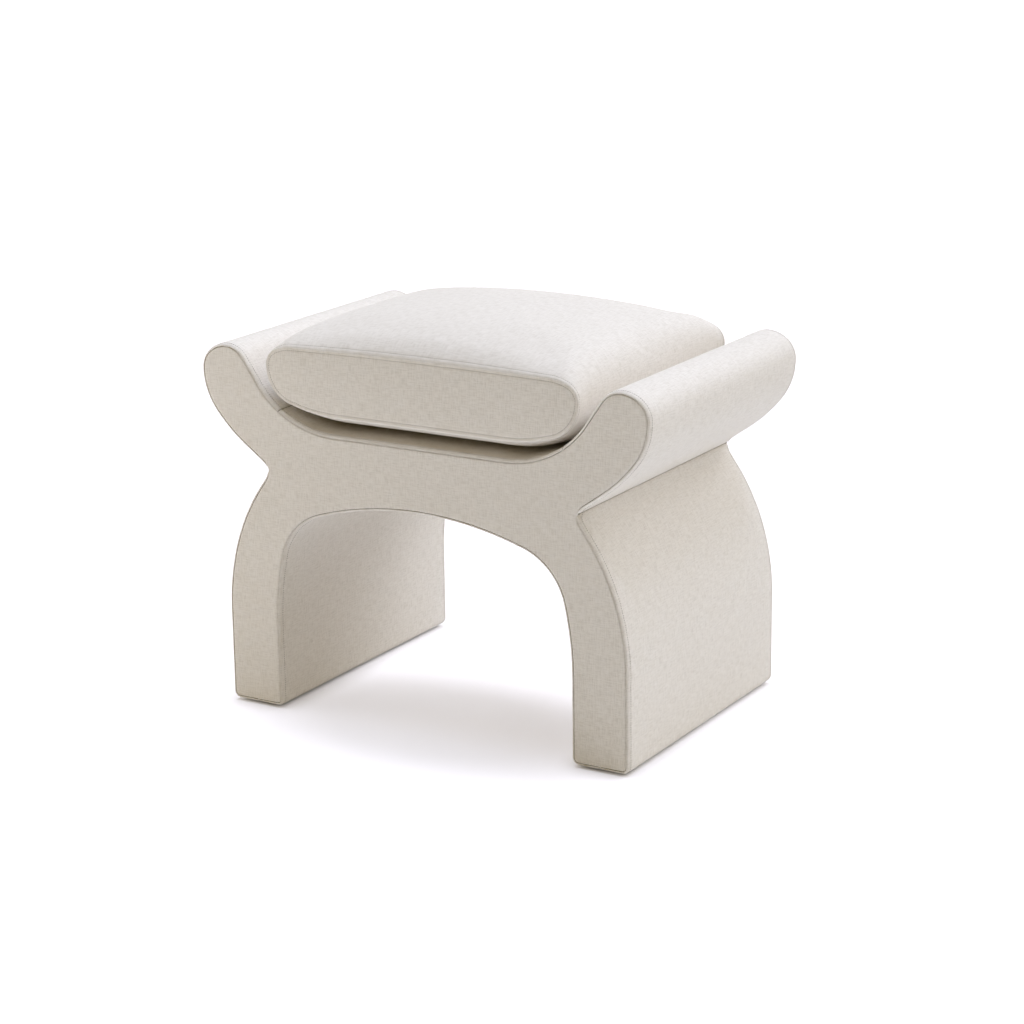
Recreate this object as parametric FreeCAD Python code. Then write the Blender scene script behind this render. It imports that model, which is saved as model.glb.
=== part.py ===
"""Upholstered arch footstool: plywood ribs, bent board skins, foam, sewn cloth and a loose zipped cushion.

Millimetres, +Z up, +X across the width, front face towards -Y, origin on the floor below the middle.
"""
import FreeCAD, Part
import math
import os

from FreeCAD import Vector

# Overall sizes. The arms reach WAIST_HEIGHT + SEAT_RISE + ARM_RISE, 480
WIDTH = 650.0              # outside of one arm to the outside of the other
DEPTH = 400.0              # front cloth face to rear cloth face
WAIST_HEIGHT = 322.0       # floor to the crease between leg and arm
ARCH_DROP = 30.0           # crown of the arch, below the waist
SEAT_RISE = 56.0           # flat of the trough, above the waist
ARM_RISE = 102.0           # top of the arms, above the trough
LEG_SPREAD = 592.0         # outside of one leg to the outside of the other
LEG_THICKNESS = 80.0       # outside of a leg to its inside

# Profile: places along the half outline
TROUGH_FLAT = 250.0        # width of the flat of the trough
FLANK_IN = 87.0            # inner arm flank, in from the outside of the arm
FLANK_RISE = 58.5          # inner arm flank, above the trough
FLANK_SLOPE = 56.0         # degrees
ARM_TOP_IN = 39.0          # highest line of the arm, in from its outside
ARM_WIDEST_DROP = 35.0     # widest line of the arm, below its top
UNDER_ARM_IN = 63.0        # end of the arm's underside curve, in from its outside
UNDER_ARM_RISE = 27.0      # the same, above the waist
WAIST_WIDTH = 448.0        # crease to crease, before the crease is rounded
WAIST_RADIUS = 15.0
HIP_OUT = 19.0             # start of the leg's swell, out from the waist
HIP_DROP = 26.5            # the same, below the waist
LEG_SWELL_HEIGHT = 125.0   # below this the leg's outside is upright
ARCH_SPRING_HEIGHT = 115.0  # below this the leg's inside is upright
ARCH_HAUNCH_WIDTH = 300.0  # where the arch's shoulder meets its flat crown
ARCH_HAUNCH_DROP = 24.0    # the same, below the crown
FOOT_RADIUS = 10.0
CROSS_SEAM_WIDTH = 410.0   # between the two seams across the trough

# Layers, from the outside in
COVER = 1.5
FOAM = 12.0
FACE_FOAM = 8.0
SKIN = 4.0
LAYER_GAP = 0.1            # glue line between layers
THIGH_ROOM = 4.0           # hollow between the leg's layers and where the arch's begin, at the hip
RIB = 18.0
BATTEN = 22.0
BATTEN_FIT = 0.1           # room round a batten in its hole
FOOT_BOARD = 18.0

# Where the battens run, on the right half
ARM_BATTEN_IN = 40.0       # in from the outside of the arm
ARM_BATTEN_DROP = 45.0     # below the arm top
WAIST_BATTEN_IN = 36.0     # in from the waist crease
WAIST_BATTEN_RISE = 8.0    # above the waist crease
LEG_BATTEN_HEIGHT = 130.0
SEAT_BATTEN_OUT = 95.0     # outer seat battens, from the middle

# Feet
GLIDE_DIAMETER = 20.0
GLIDE_EDGE = 0.8           # rounding of the glide's rim
GLIDE_HEIGHT = 2.2
GLIDE_INSET = 40.0         # centre of a glide, in from the front or rear face
DUST_COVER = 0.8
DUST_COVER_MARGIN = 12.0   # cloth that shows round the dust cover
NAIL_DIAMETER = 2.6
NAIL_DEPTH_IN_GLIDE = 1.2
NAIL_LENGTH = 16.0
SCREW_DIAMETER = 4.0
SCREW_HEAD_DIAMETER = 8.0
SCREW_HEAD_HEIGHT = 2.4
SCREW_LENGTH = 45.0
HOLE_FIT = 0.05            # radial room round nails and screws

# Loose cushion
CUSHION_SIDE_IN = 96.0     # widest line of the cushion, in from the outside of the arm
CUSHION_FRONT_GAP = 4.0    # front end panel behind the stool's front face
CUSHION_REAR_GAP = 10.0    # rear end panel in front of the stool's rear face
CUSHION_REST = 0.5         # room between the cushion and the trough
SEAM_BOTTOM_RISE = 22.0    # lower seam of an end panel above the trough
SEAM_TOP_RISE = 109.0      # upper seam of an end panel above the trough
CROWN_RISE = 144.0         # top of the cushion above the trough
TOP_CORNER_IN = 42.0       # where the rounded end meets the top, in from the end
TOP_CORNER_DROP = 12.0     # the same, below the crown in the middle of the cushion
SEAM_CORNER_DROP = 2.0     # the same, below the upper seam at an end panel
WIDEST_RISE = 80.0         # widest line of the rounded end above the trough
CUSHION_FLAT = 240.0       # flat of the underside
SEAM_PULL = 2.0            # how far an end panel is narrower than the middle, each side
CROWN_POWER = 6.0          # how soon the cushion swells behind its seams
CUSHION_STATIONS = (-1.0, -0.94, -0.85, -0.6, 0.0, 0.6, 0.85, 0.94, 1.0)

# Zip on the rear end panel
ZIP_END_IN = 39.0          # end of the coil, in from the cushion's widest line
ZIP_SLOT = 7.0
ZIP_TAPE_WIDTH = 26.0
ZIP_TAPE = 0.8
ZIP_TAPE_MARGIN = 8.0
ZIP_COIL_WIDTH = 5.0
ZIP_COIL_HEIGHT = 2.2
ZIP_END_ROOM = 1.0
SLIDER_LENGTH = 14.0
SLIDER_WIDTH = 9.0
SLIDER_PLATE = 1.8
SLIDER_LIFT = 0.3          # running room over the coil
SLIDER_LUG = 1.2
SLIDER_TRAVEL_END = 3.0    # slider to the end of the coil, when closed
PULL_PIN_DIAMETER = 1.8
PULL_PIN_FIT = 0.05
PULL_EYE_WALL = 0.9
PULL_EYE_LIFT = 0.2        # eye above the slider's plate
PULL_LENGTH = 24.0
PULL_WIDTH = 5.0
PULL_THICKNESS = 1.4

# Values worked out from the sizes above
ARCH_SPAN = LEG_SPREAD - 2 * LEG_THICKNESS
ARCH_HEIGHT = WAIST_HEIGHT - ARCH_DROP
SEAT_HEIGHT = WAIST_HEIGHT + SEAT_RISE
ARM_HEIGHT = SEAT_HEIGHT + ARM_RISE
CUSHION_WIDTH = WIDTH - 2 * CUSHION_SIDE_IN
ZIP_LENGTH = CUSHION_WIDTH - 2 * ZIP_END_IN
FOOT_LEVEL = GLIDE_HEIGHT + DUST_COVER
FOAM_OUTSIDE = COVER + LAYER_GAP
FOAM_INSIDE = FOAM_OUTSIDE + FOAM
SKIN_OUTSIDE = FOAM_INSIDE + LAYER_GAP
SKIN_INSIDE = SKIN_OUTSIDE + SKIN
RIB_OUTSIDE = SKIN_INSIDE + LAYER_GAP
FACE_FOAM_FRONT = DEPTH / 2 - FOAM_OUTSIDE
FRAME_HALF_DEPTH = FACE_FOAM_FRONT - FACE_FOAM - LAYER_GAP
LEG_MIDDLE = (LEG_SPREAD + ARCH_SPAN) / 4
FOOT_BOARD_BOTTOM = FOOT_LEVEL + FOAM_OUTSIDE
FOOT_BOARD_TOP = FOOT_BOARD_BOTTOM + FOOT_BOARD
FOOT_BOARD_WIDTH = (LEG_SPREAD - ARCH_SPAN) / 2 - 2 * SKIN_OUTSIDE
FAR = WIDTH + DEPTH


def at(x, z):
    """A point of the profile's plane."""
    return Vector(x, 0, z)


def heading(degrees):
    return at(math.cos(math.radians(degrees)), math.sin(math.radians(degrees)))


def towards(start, end):
    return (end - start).normalize()


def arc_from(start, tangent, end):
    """The arc that leaves start along tangent and reaches end."""
    chord = end - start
    turn = tangent.cross(chord).y
    half_angle = tangent.getAngle(chord)
    if half_angle < 1e-6:
        return Part.LineSegment(start, end).toShape()
    side = Vector(0, 1, 0).cross(chord) * math.copysign(0.5, turn)
    middle = start + chord * 0.5 - side * math.tan(half_angle / 2)
    return Part.Arc(start, middle, end).toShape()


def biarc(start, leave, end, arrive):
    """Two arcs that join start to end and keep both tangents, so the outline has no kink."""
    span = end - start
    both = leave + arrive
    spread = 2 * (1 - leave.dot(arrive))
    along = span.dot(both)
    if spread < 1e-9:
        reach = span.dot(span) / (2 * along)
    else:
        reach = (-along + math.sqrt(along ** 2 + spread * span.dot(span))) / spread
    joint = (start + leave * reach + end - arrive * reach) * 0.5
    return [arc_from(start, leave, joint), arc_from(end, arrive * -1, joint)]


def line(start, end):
    return Part.LineSegment(start, end).toShape()


def rounded_corner(before, corner, after, radius):
    """Ends of the arc that rounds a corner, with the arc."""
    arrive = towards(before, corner)
    leave = towards(corner, after)
    reach = radius * math.tan(arrive.getAngle(leave) / 2)
    start = corner - arrive * reach
    end = corner + leave * reach
    return start, end, arc_from(start, arrive, end)


def half_outline(foot_radius):
    """Edges of the right half of the profile, from the middle of the trough to the crown of the arch."""
    side = WIDTH / 2
    trough_middle = at(0, SEAT_HEIGHT)
    trough_end = at(TROUGH_FLAT / 2, SEAT_HEIGHT)
    flank = at(side - FLANK_IN, SEAT_HEIGHT + FLANK_RISE)
    arm_top = at(side - ARM_TOP_IN, ARM_HEIGHT)
    arm_widest = at(side, ARM_HEIGHT - ARM_WIDEST_DROP)
    under_arm = at(side - UNDER_ARM_IN, WAIST_HEIGHT + UNDER_ARM_RISE)
    waist = at(WAIST_WIDTH / 2, WAIST_HEIGHT)
    hip = at(WAIST_WIDTH / 2 + HIP_OUT, WAIST_HEIGHT - HIP_DROP)
    leg_side = at(LEG_SPREAD / 2, LEG_SWELL_HEIGHT)
    foot_outside = at(LEG_SPREAD / 2, FOOT_LEVEL)
    foot_inside = at(ARCH_SPAN / 2, FOOT_LEVEL)
    spring = at(ARCH_SPAN / 2, ARCH_SPRING_HEIGHT)
    haunch = at(ARCH_HAUNCH_WIDTH / 2, ARCH_HEIGHT - ARCH_HAUNCH_DROP)
    crown = at(0, ARCH_HEIGHT)
    right, down, left, up = heading(0), heading(-90), heading(180), heading(90)
    haunch_tangent = heading(180 - 2 * math.degrees(math.atan2(ARCH_HAUNCH_DROP, ARCH_HAUNCH_WIDTH / 2)))
    waist_start, waist_end, waist_arc = rounded_corner(under_arm, waist, hip, WAIST_RADIUS)

    edges = [line(trough_middle, trough_end)]
    edges += biarc(trough_end, right, flank, heading(FLANK_SLOPE))
    edges += biarc(flank, heading(FLANK_SLOPE), arm_top, right)
    edges += biarc(arm_top, right, arm_widest, down)
    edges += biarc(arm_widest, down, under_arm, towards(under_arm, waist))
    edges += [line(under_arm, waist_start), waist_arc, line(waist_end, hip)]
    edges += biarc(hip, towards(waist, hip), leg_side, down)
    if foot_radius > 0:
        outer_start, outer_end, outer_arc = rounded_corner(leg_side, foot_outside, foot_inside, foot_radius)
        inner_start, inner_end, inner_arc = rounded_corner(foot_outside, foot_inside, spring, foot_radius)
        edges += [line(leg_side, outer_start), outer_arc, line(outer_end, inner_start), inner_arc]
        edges += [line(inner_end, spring)]
    else:
        edges += [line(leg_side, foot_outside), line(foot_outside, foot_inside), line(foot_inside, spring)]
    edges += biarc(spring, up, haunch, haunch_tangent)
    edges += [arc_from(crown, heading(0), haunch)]
    return edges


def outline(foot_radius):
    """The whole closed profile as one wire."""
    right_half = half_outline(foot_radius)
    left_half = [edge.mirror(Vector(0, 0, 0), Vector(1, 0, 0)) for edge in right_half]
    return Part.Wire(Part.__sortEdges__(right_half + left_half))


def profile(inset):
    """The profile drawn in by inset, as a face. Deep layers have square feet."""
    wire = outline(FOOT_RADIUS if inset < FOOT_RADIUS else 0)
    if inset > 0:
        wire = wire.makeOffset2D(-inset)
    return Part.Face(wire)


def carried(face, front, rear):
    """A face of the profile's plane carried from front to rear along Y."""
    moved = face.copy()
    moved.translate(Vector(0, front, 0))
    return moved.extrude(Vector(0, rear - front, 0))


def box(low, high):
    return Part.makeBox(high.x - low.x, high.y - low.y, high.z - low.z, low)


def rod(diameter, start, length, direction=Vector(0, 0, 1)):
    return Part.makeCylinder(diameter / 2, length, start, direction)


def region(points):
    """A prism over a polygon of the profile's plane, long enough to cut any layer."""
    return carried(Part.Face(Part.makePolygon(points + points[:1])), -DEPTH, DEPTH)


def mirrored(shape):
    return shape.mirror(Vector(0, 0, 0), Vector(1, 0, 0))


def flipped(points):
    return [at(-point.x, point.z) for point in reversed(points)]


def cross_seam():
    """Where the seam across the trough lies on the outline, and the direction square to the flank there."""
    flank_edges = Part.Wire(half_outline(0)[1:3])
    upright = line(at(CROSS_SEAM_WIDTH / 2, 0), at(CROSS_SEAM_WIDTH / 2, FAR))
    seam = flank_edges.distToShape(upright)[1][0][0]
    run = WIDTH / 2 - FLANK_IN - TROUGH_FLAT / 2
    return seam, heading(90 + math.degrees(math.atan2(FLANK_RISE, run)))


def wrap_regions():
    """The part of the profile's plane that each strip of the wrap covers, cut at the seams."""
    seam, across = cross_seam()
    over_seam = seam + across * RIB_OUTSIDE
    sky = at(over_seam.x, FAR)
    root = seam - across * 2 * RIB_OUTSIDE
    neck = at(WAIST_WIDTH / 2 - WAIST_BATTEN_IN, WAIST_HEIGHT)
    beyond_waist = at(FAR, WAIST_HEIGHT)
    middle = at(0, WAIST_HEIGHT)
    thigh = at(WAIST_WIDTH / 2 + HIP_OUT - RIB_OUTSIDE - THIGH_ROOM, WAIST_HEIGHT - HIP_DROP)
    knee = at(LEG_MIDDLE, LEG_SWELL_HEIGHT)
    below_foot = at(LEG_MIDDLE, -FAR)
    leg = [below_foot, knee, thigh, neck, beyond_waist, at(FAR, -FAR)]
    arm = [neck, root, over_seam, sky, at(FAR, FAR), beyond_waist]
    half_seat = [middle, at(0, FAR), sky, over_seam, root, neck]
    half_arch = [below_foot, knee, thigh, neck, middle, at(0, -FAR)]
    return leg, arm, half_seat, half_arch


def split_wrap(layer, name, parts):
    """Cuts one layer of the wrap at the seams and names its strips."""
    leg, arm, half_seat, half_arch = wrap_regions()
    for side, turned in (("right", False), ("left", True)):
        for strip, points in (("leg", leg), ("arm", arm)):
            cutter = region(flipped(points) if turned else points)
            parts[f"{strip}_{name}_{side}"] = layer.common(cutter)
    for strip, points in (("seat", half_seat), ("arch", half_arch)):
        whole = region(points).fuse(region(flipped(points)))
        parts[f"{strip}_{name}"] = layer.common(whole)


def batten_places():
    """Middle of each batten in the profile's plane."""
    seat_level = (SEAT_HEIGHT + ARCH_HEIGHT) / 2
    pairs = {
        "arm": (WIDTH / 2 - ARM_BATTEN_IN, ARM_HEIGHT - ARM_BATTEN_DROP),
        "waist": (WAIST_WIDTH / 2 - WAIST_BATTEN_IN, WAIST_HEIGHT + WAIST_BATTEN_RISE),
        "leg": (LEG_MIDDLE, LEG_BATTEN_HEIGHT),
        "seat": (SEAT_BATTEN_OUT, seat_level),
    }
    places = {"seat_batten_centre": (0, seat_level)}
    for name, (x, z) in pairs.items():
        places[f"{name}_batten_right"] = (x, z)
        places[f"{name}_batten_left"] = (-x, z)
    return places


def batten(x, z, room=0.0):
    half = BATTEN / 2 + room
    length = FRAME_HALF_DEPTH + room
    return box(Vector(x - half, -length, z - half), Vector(x + half, length, z + half))


def foot_board(room=0.0):
    half = FOOT_BOARD_WIDTH / 2 + room
    low = Vector(LEG_MIDDLE - half, -FRAME_HALF_DEPTH - room, FOOT_BOARD_BOTTOM - room)
    return box(low, Vector(LEG_MIDDLE + half, FRAME_HALF_DEPTH + room, FOOT_BOARD_TOP))


def screw(y, room=0.0):
    """A countersunk screw up through the foot board into a rib."""
    foot = Vector(LEG_MIDDLE, y, FOOT_BOARD_BOTTOM)
    head = Part.makeCone(SCREW_HEAD_DIAMETER / 2 + room, SCREW_DIAMETER / 2 + room, SCREW_HEAD_HEIGHT, foot)
    return head.fuse(rod(SCREW_DIAMETER + 2 * room, foot, SCREW_LENGTH + room)).removeSplitter()


def nail(y, room=0.0):
    """A glide's nail, from inside the glide up into the foot board."""
    foot = Vector(LEG_MIDDLE, y, GLIDE_HEIGHT - NAIL_DEPTH_IN_GLIDE)
    return rod(NAIL_DIAMETER + 2 * room, foot, NAIL_LENGTH + room)


def build_frame(parts):
    """Ribs, battens, foot boards and their screws."""
    rib_middle = FRAME_HALF_DEPTH - RIB / 2
    ribs = {"front_rib": -rib_middle, "centre_rib": 0.0, "rear_rib": rib_middle}
    places = batten_places()
    holes = [batten(x, z, BATTEN_FIT) for x, z in places.values()]
    feet = [foot_board(), mirrored(foot_board())]
    screws = [screw(y) for y in ribs.values()]
    screw_holes = [screw(y, HOLE_FIT) for y in ribs.values()]
    screw_holes += [mirrored(hole) for hole in screw_holes]
    nail_holes = [nail(y, HOLE_FIT) for y in glide_rows()]
    rib_face = profile(RIB_OUTSIDE)
    for name, middle in ribs.items():
        blank = carried(rib_face, middle - RIB / 2, middle + RIB / 2)
        parts[name] = blank.cut(holes + feet + screw_holes)
    for name, (x, z) in places.items():
        parts[name] = batten(x, z)
    board = foot_board().cut(screw_holes + nail_holes)
    parts["foot_board_right"] = board
    parts["foot_board_left"] = mirrored(board)
    parts["foot_screws"] = Part.makeCompound(screws + [mirrored(one) for one in screws])


def build_wrap(parts):
    """Skins, foam and cloth round the profile, and the two face panels."""
    feet = [foot_board(LAYER_GAP), mirrored(foot_board(LAYER_GAP))]
    nail_holes = [nail(y, HOLE_FIT) for y in glide_rows()]
    nail_holes += [mirrored(hole) for hole in nail_holes]
    half = FRAME_HALF_DEPTH
    skin = carried(profile(SKIN_OUTSIDE).cut(profile(SKIN_INSIDE)), -half, half)
    split_wrap(skin.cut(feet), "skin", parts)
    foam = carried(profile(FOAM_OUTSIDE).cut(profile(FOAM_INSIDE)), -half, half)
    split_wrap(foam.cut(feet), "foam", parts)
    cloth_half = DEPTH / 2 - COVER
    cloth = carried(profile(0).cut(profile(COVER)), -cloth_half, cloth_half)
    split_wrap(cloth.cut(nail_holes), "cover", parts)
    face_foam = profile(FOAM_OUTSIDE)
    parts["front_face_foam"] = carried(face_foam, -FACE_FOAM_FRONT, -FACE_FOAM_FRONT + FACE_FOAM)
    parts["rear_face_foam"] = carried(face_foam, FACE_FOAM_FRONT - FACE_FOAM, FACE_FOAM_FRONT)
    parts["front_panel_cover"] = carried(profile(0), -DEPTH / 2, -cloth_half)
    parts["rear_panel_cover"] = carried(profile(0), cloth_half, DEPTH / 2)


def glide_rows():
    return [-DEPTH / 2 + GLIDE_INSET, DEPTH / 2 - GLIDE_INSET]


def build_feet(parts):
    """Dust covers, glides and their nails."""
    half = (LEG_SPREAD - ARCH_SPAN) / 4 - DUST_COVER_MARGIN
    length = DEPTH / 2 - DUST_COVER_MARGIN
    low = Vector(LEG_MIDDLE - half, -length, GLIDE_HEIGHT)
    dust = box(low, Vector(LEG_MIDDLE + half, length, FOOT_LEVEL))
    dust = dust.cut([nail(y, HOLE_FIT) for y in glide_rows()])
    parts["dust_cover_right"] = dust
    parts["dust_cover_left"] = mirrored(dust)
    nails = []
    for row, y in zip(("front", "rear"), glide_rows()):
        disc = rod(GLIDE_DIAMETER, Vector(LEG_MIDDLE, y, 0), GLIDE_HEIGHT)
        rim = [edge for edge in disc.Edges if edge.BoundBox.ZMax < GLIDE_HEIGHT / 2]
        glide = disc.makeFillet(GLIDE_EDGE, rim).cut(nail(y, HOLE_FIT))
        parts[f"glide_{row}_right"] = glide
        parts[f"glide_{row}_left"] = mirrored(glide)
        nails += [nail(y), mirrored(nail(y))]
    parts["glide_nails"] = Part.makeCompound(nails)


def cushion_section(y, swell, inset):
    """Outline of the cushion across one station: flat underside, rounded ends, arched top.

    swell is 0 at an end panel's seam and 1 in the middle of the cushion.
    """
    def between(seam, middle):
        return SEAT_HEIGHT + seam + (middle - seam) * swell

    end = CUSHION_WIDTH / 2 - SEAM_PULL * (1 - swell) - inset
    bottom = between(SEAM_BOTTOM_RISE, CUSHION_REST) + inset
    crown = between(SEAM_TOP_RISE, CROWN_RISE) - inset
    corner_level = between(SEAM_TOP_RISE - SEAM_CORNER_DROP, CROWN_RISE - TOP_CORNER_DROP) - inset
    corner_half = CUSHION_WIDTH / 2 - TOP_CORNER_IN
    under = at(CUSHION_FLAT / 2, bottom)
    widest = at(end, SEAT_HEIGHT + WIDEST_RISE)
    corner = at(corner_half, corner_level)
    top = at(0, crown)
    lean = 2 * math.degrees(math.atan2(crown - corner_level, corner_half))
    right_half = biarc(under, heading(0), widest, heading(90))
    right_half += biarc(widest, heading(90), corner, heading(180 - lean))
    right_half += [arc_from(top, heading(0), corner)]
    left_half = [edge.mirror(Vector(0, 0, 0), Vector(1, 0, 0)) for edge in right_half]
    base = line(at(-CUSHION_FLAT / 2, bottom), under)
    wire = Part.Wire(Part.__sortEdges__([base] + right_half + left_half))
    wire.translate(Vector(0, y, 0))
    return wire


def cushion_form(front, rear, inset):
    """The crowned cushion between two end planes, drawn in by inset."""
    middle = (front + rear) / 2
    half = (rear - front) / 2
    sections = []
    for station in CUSHION_STATIONS:
        swell = 1 - abs(station) ** CROWN_POWER
        sections.append(cushion_section(middle + half * station, swell, inset))
    return Part.makeLoft(sections, True, False)


def build_cushion(parts):
    """Filling, wrap and end panels of the loose cushion."""
    front = -DEPTH / 2 + CUSHION_FRONT_GAP
    rear = DEPTH / 2 - CUSHION_REAR_GAP
    wrap_front = front + COVER
    wrap_rear = rear - COVER
    outside = cushion_form(wrap_front, wrap_rear, 0)
    parts["cushion_wrap"] = outside.cut(cushion_form(wrap_front, wrap_rear, COVER))
    core_rear = wrap_rear - ZIP_TAPE - LAYER_GAP
    parts["cushion_core"] = cushion_form(wrap_front + LAYER_GAP, core_rear, COVER + LAYER_GAP)
    panel = Part.Face(cushion_section(0, 0, 0))
    parts["cushion_front_panel"] = carried(panel, front, wrap_front)
    slot_half = ZIP_LENGTH / 2 + ZIP_END_ROOM
    slot = box(Vector(-slot_half, wrap_rear, zip_level() - ZIP_SLOT / 2),
               Vector(slot_half, rear, zip_level() + ZIP_SLOT / 2))
    parts["cushion_rear_panel"] = carried(panel, wrap_rear, rear).cut(slot)


def zip_level():
    return SEAT_HEIGHT + (SEAM_BOTTOM_RISE + SEAM_TOP_RISE) / 2


def build_zip(parts):
    """Zip tape behind the rear panel, coil in its slot, and a slider with a pull tab."""
    tape_rear = DEPTH / 2 - CUSHION_REAR_GAP - COVER
    level = zip_level()
    tape_half = ZIP_LENGTH / 2 + ZIP_TAPE_MARGIN
    parts["zip_tape"] = box(Vector(-tape_half, tape_rear - ZIP_TAPE, level - ZIP_TAPE_WIDTH / 2),
                            Vector(tape_half, tape_rear, level + ZIP_TAPE_WIDTH / 2))
    coil_rear = tape_rear + ZIP_COIL_HEIGHT
    parts["zip_coil"] = box(Vector(-ZIP_LENGTH / 2, tape_rear, level - ZIP_COIL_WIDTH / 2),
                            Vector(ZIP_LENGTH / 2, coil_rear, level + ZIP_COIL_WIDTH / 2))
    plate_front = coil_rear + SLIDER_LIFT
    plate_rear = plate_front + SLIDER_PLATE
    slider_end = ZIP_LENGTH / 2 - SLIDER_TRAVEL_END
    plate = box(Vector(slider_end - SLIDER_LENGTH, plate_front, level - SLIDER_WIDTH / 2),
                Vector(slider_end, plate_rear, level + SLIDER_WIDTH / 2))
    eye_radius = PULL_PIN_DIAMETER / 2 + PULL_PIN_FIT + PULL_EYE_WALL
    pin_x = slider_end - SLIDER_LENGTH / 2
    pin_y = plate_rear + PULL_EYE_LIFT + eye_radius
    lug_gap = PULL_WIDTH / 2 + PULL_PIN_FIT
    slider = plate
    for side in (-1, 1):
        inner = level + side * lug_gap
        outer = inner + side * SLIDER_LUG
        lug = box(Vector(pin_x - eye_radius, plate_rear, min(inner, outer)),
                  Vector(pin_x + eye_radius, pin_y + eye_radius, max(inner, outer)))
        slider = slider.fuse(lug)
    pin_length = 2 * (lug_gap + SLIDER_LUG)
    pin = rod(PULL_PIN_DIAMETER, Vector(pin_x, pin_y, level - pin_length / 2), pin_length)
    parts["zip_slider"] = slider.fuse(pin).removeSplitter()
    tab = box(Vector(pin_x - PULL_LENGTH, pin_y - PULL_THICKNESS / 2, level - PULL_WIDTH / 2),
              Vector(pin_x, pin_y + PULL_THICKNESS / 2, level + PULL_WIDTH / 2))
    eye = rod(2 * eye_radius, Vector(pin_x, pin_y, level - PULL_WIDTH / 2), PULL_WIDTH)
    bore = rod(PULL_PIN_DIAMETER + 2 * PULL_PIN_FIT, Vector(pin_x, pin_y, level - PULL_WIDTH / 2), PULL_WIDTH)
    parts["zip_pull"] = tab.fuse(eye).cut(bore).removeSplitter()


def main():
    parts = {}
    build_frame(parts)
    build_wrap(parts)
    build_feet(parts)
    build_cushion(parts)
    build_zip(parts)
    os.makedirs("parts", exist_ok=True)
    for name, shape in parts.items():
        shape.exportStep(f"parts/{name}.step")
        print(f"{name:22s} solids {len(shape.Solids)}, volume {shape.Volume:.1f}, valid {shape.isValid()}")


main()
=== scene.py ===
"""Looks of the arch footstool: linen strips, faces and cushion over the packed frame, with seams and a zip.

Metres, +Z up, +X across the width, front face towards -Y, as in the packed model.
"""
import math

import bpy
import numpy as np
from bpy.props import FloatProperty, FloatVectorProperty, PointerProperty
from mathutils import Matrix, Vector
from mathutils.geometry import delaunay_2d_cdt


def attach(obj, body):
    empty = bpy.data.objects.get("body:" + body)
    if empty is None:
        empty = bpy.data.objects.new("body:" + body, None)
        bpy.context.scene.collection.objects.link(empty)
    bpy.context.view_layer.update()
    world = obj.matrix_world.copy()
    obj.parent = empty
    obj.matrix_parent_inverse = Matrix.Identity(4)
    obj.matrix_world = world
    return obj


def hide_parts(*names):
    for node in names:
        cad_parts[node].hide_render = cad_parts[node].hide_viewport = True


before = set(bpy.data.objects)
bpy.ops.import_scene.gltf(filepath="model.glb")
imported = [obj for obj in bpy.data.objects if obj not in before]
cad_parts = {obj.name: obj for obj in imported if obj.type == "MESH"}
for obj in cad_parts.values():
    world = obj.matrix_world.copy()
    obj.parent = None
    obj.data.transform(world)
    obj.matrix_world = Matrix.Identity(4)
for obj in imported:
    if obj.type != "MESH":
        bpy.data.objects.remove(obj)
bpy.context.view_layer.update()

bl_info = {
    "name": "Arch footstool",
    "version": (1, 0, 0),
    "blender": (4, 5, 0),
    "location": "View3D > Sidebar > Footstool",
    "description": "Builds the linen, seams, cushion, zip and stage of an arch footstool",
    "category": "Object",
}

MM = 0.001
TINY = 1e-9
PICTURE = 1024  # width and height of the photo in pixels
SIDES = ((-1, "front"), (1, "rear"))
NO_HOLE = np.zeros(0, complex)


# Property helpers

def length(name, millimetres, description):
    """A length whose default is given in millimetres."""
    return FloatProperty(name=name, description=description, default=millimetres * MM,
                         unit="LENGTH", precision=5)


def angle(name, degrees, description):
    """An angle whose default is given in degrees."""
    return FloatProperty(name=name, description=description, default=math.radians(degrees), subtype="ANGLE")


def number(name, default, description, unit="NONE"):
    """A plain number or a strength."""
    return FloatProperty(name=name, description=description, default=default, unit=unit)


def share(name, default, description):
    """A share between 0 and 1."""
    return FloatProperty(name=name, description=description, default=default, subtype="FACTOR",
                         soft_min=0, soft_max=1)


def vector(name, default, description, subtype="XYZ"):
    """A direction, a place or three sizes."""
    return FloatVectorProperty(name=name, description=description, default=default, size=3, subtype=subtype)


def colour(name, default, description):
    """A colour of three shares."""
    return FloatVectorProperty(name=name, description=description, default=default, size=3, subtype="COLOR",
                               min=0, max=1)


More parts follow.
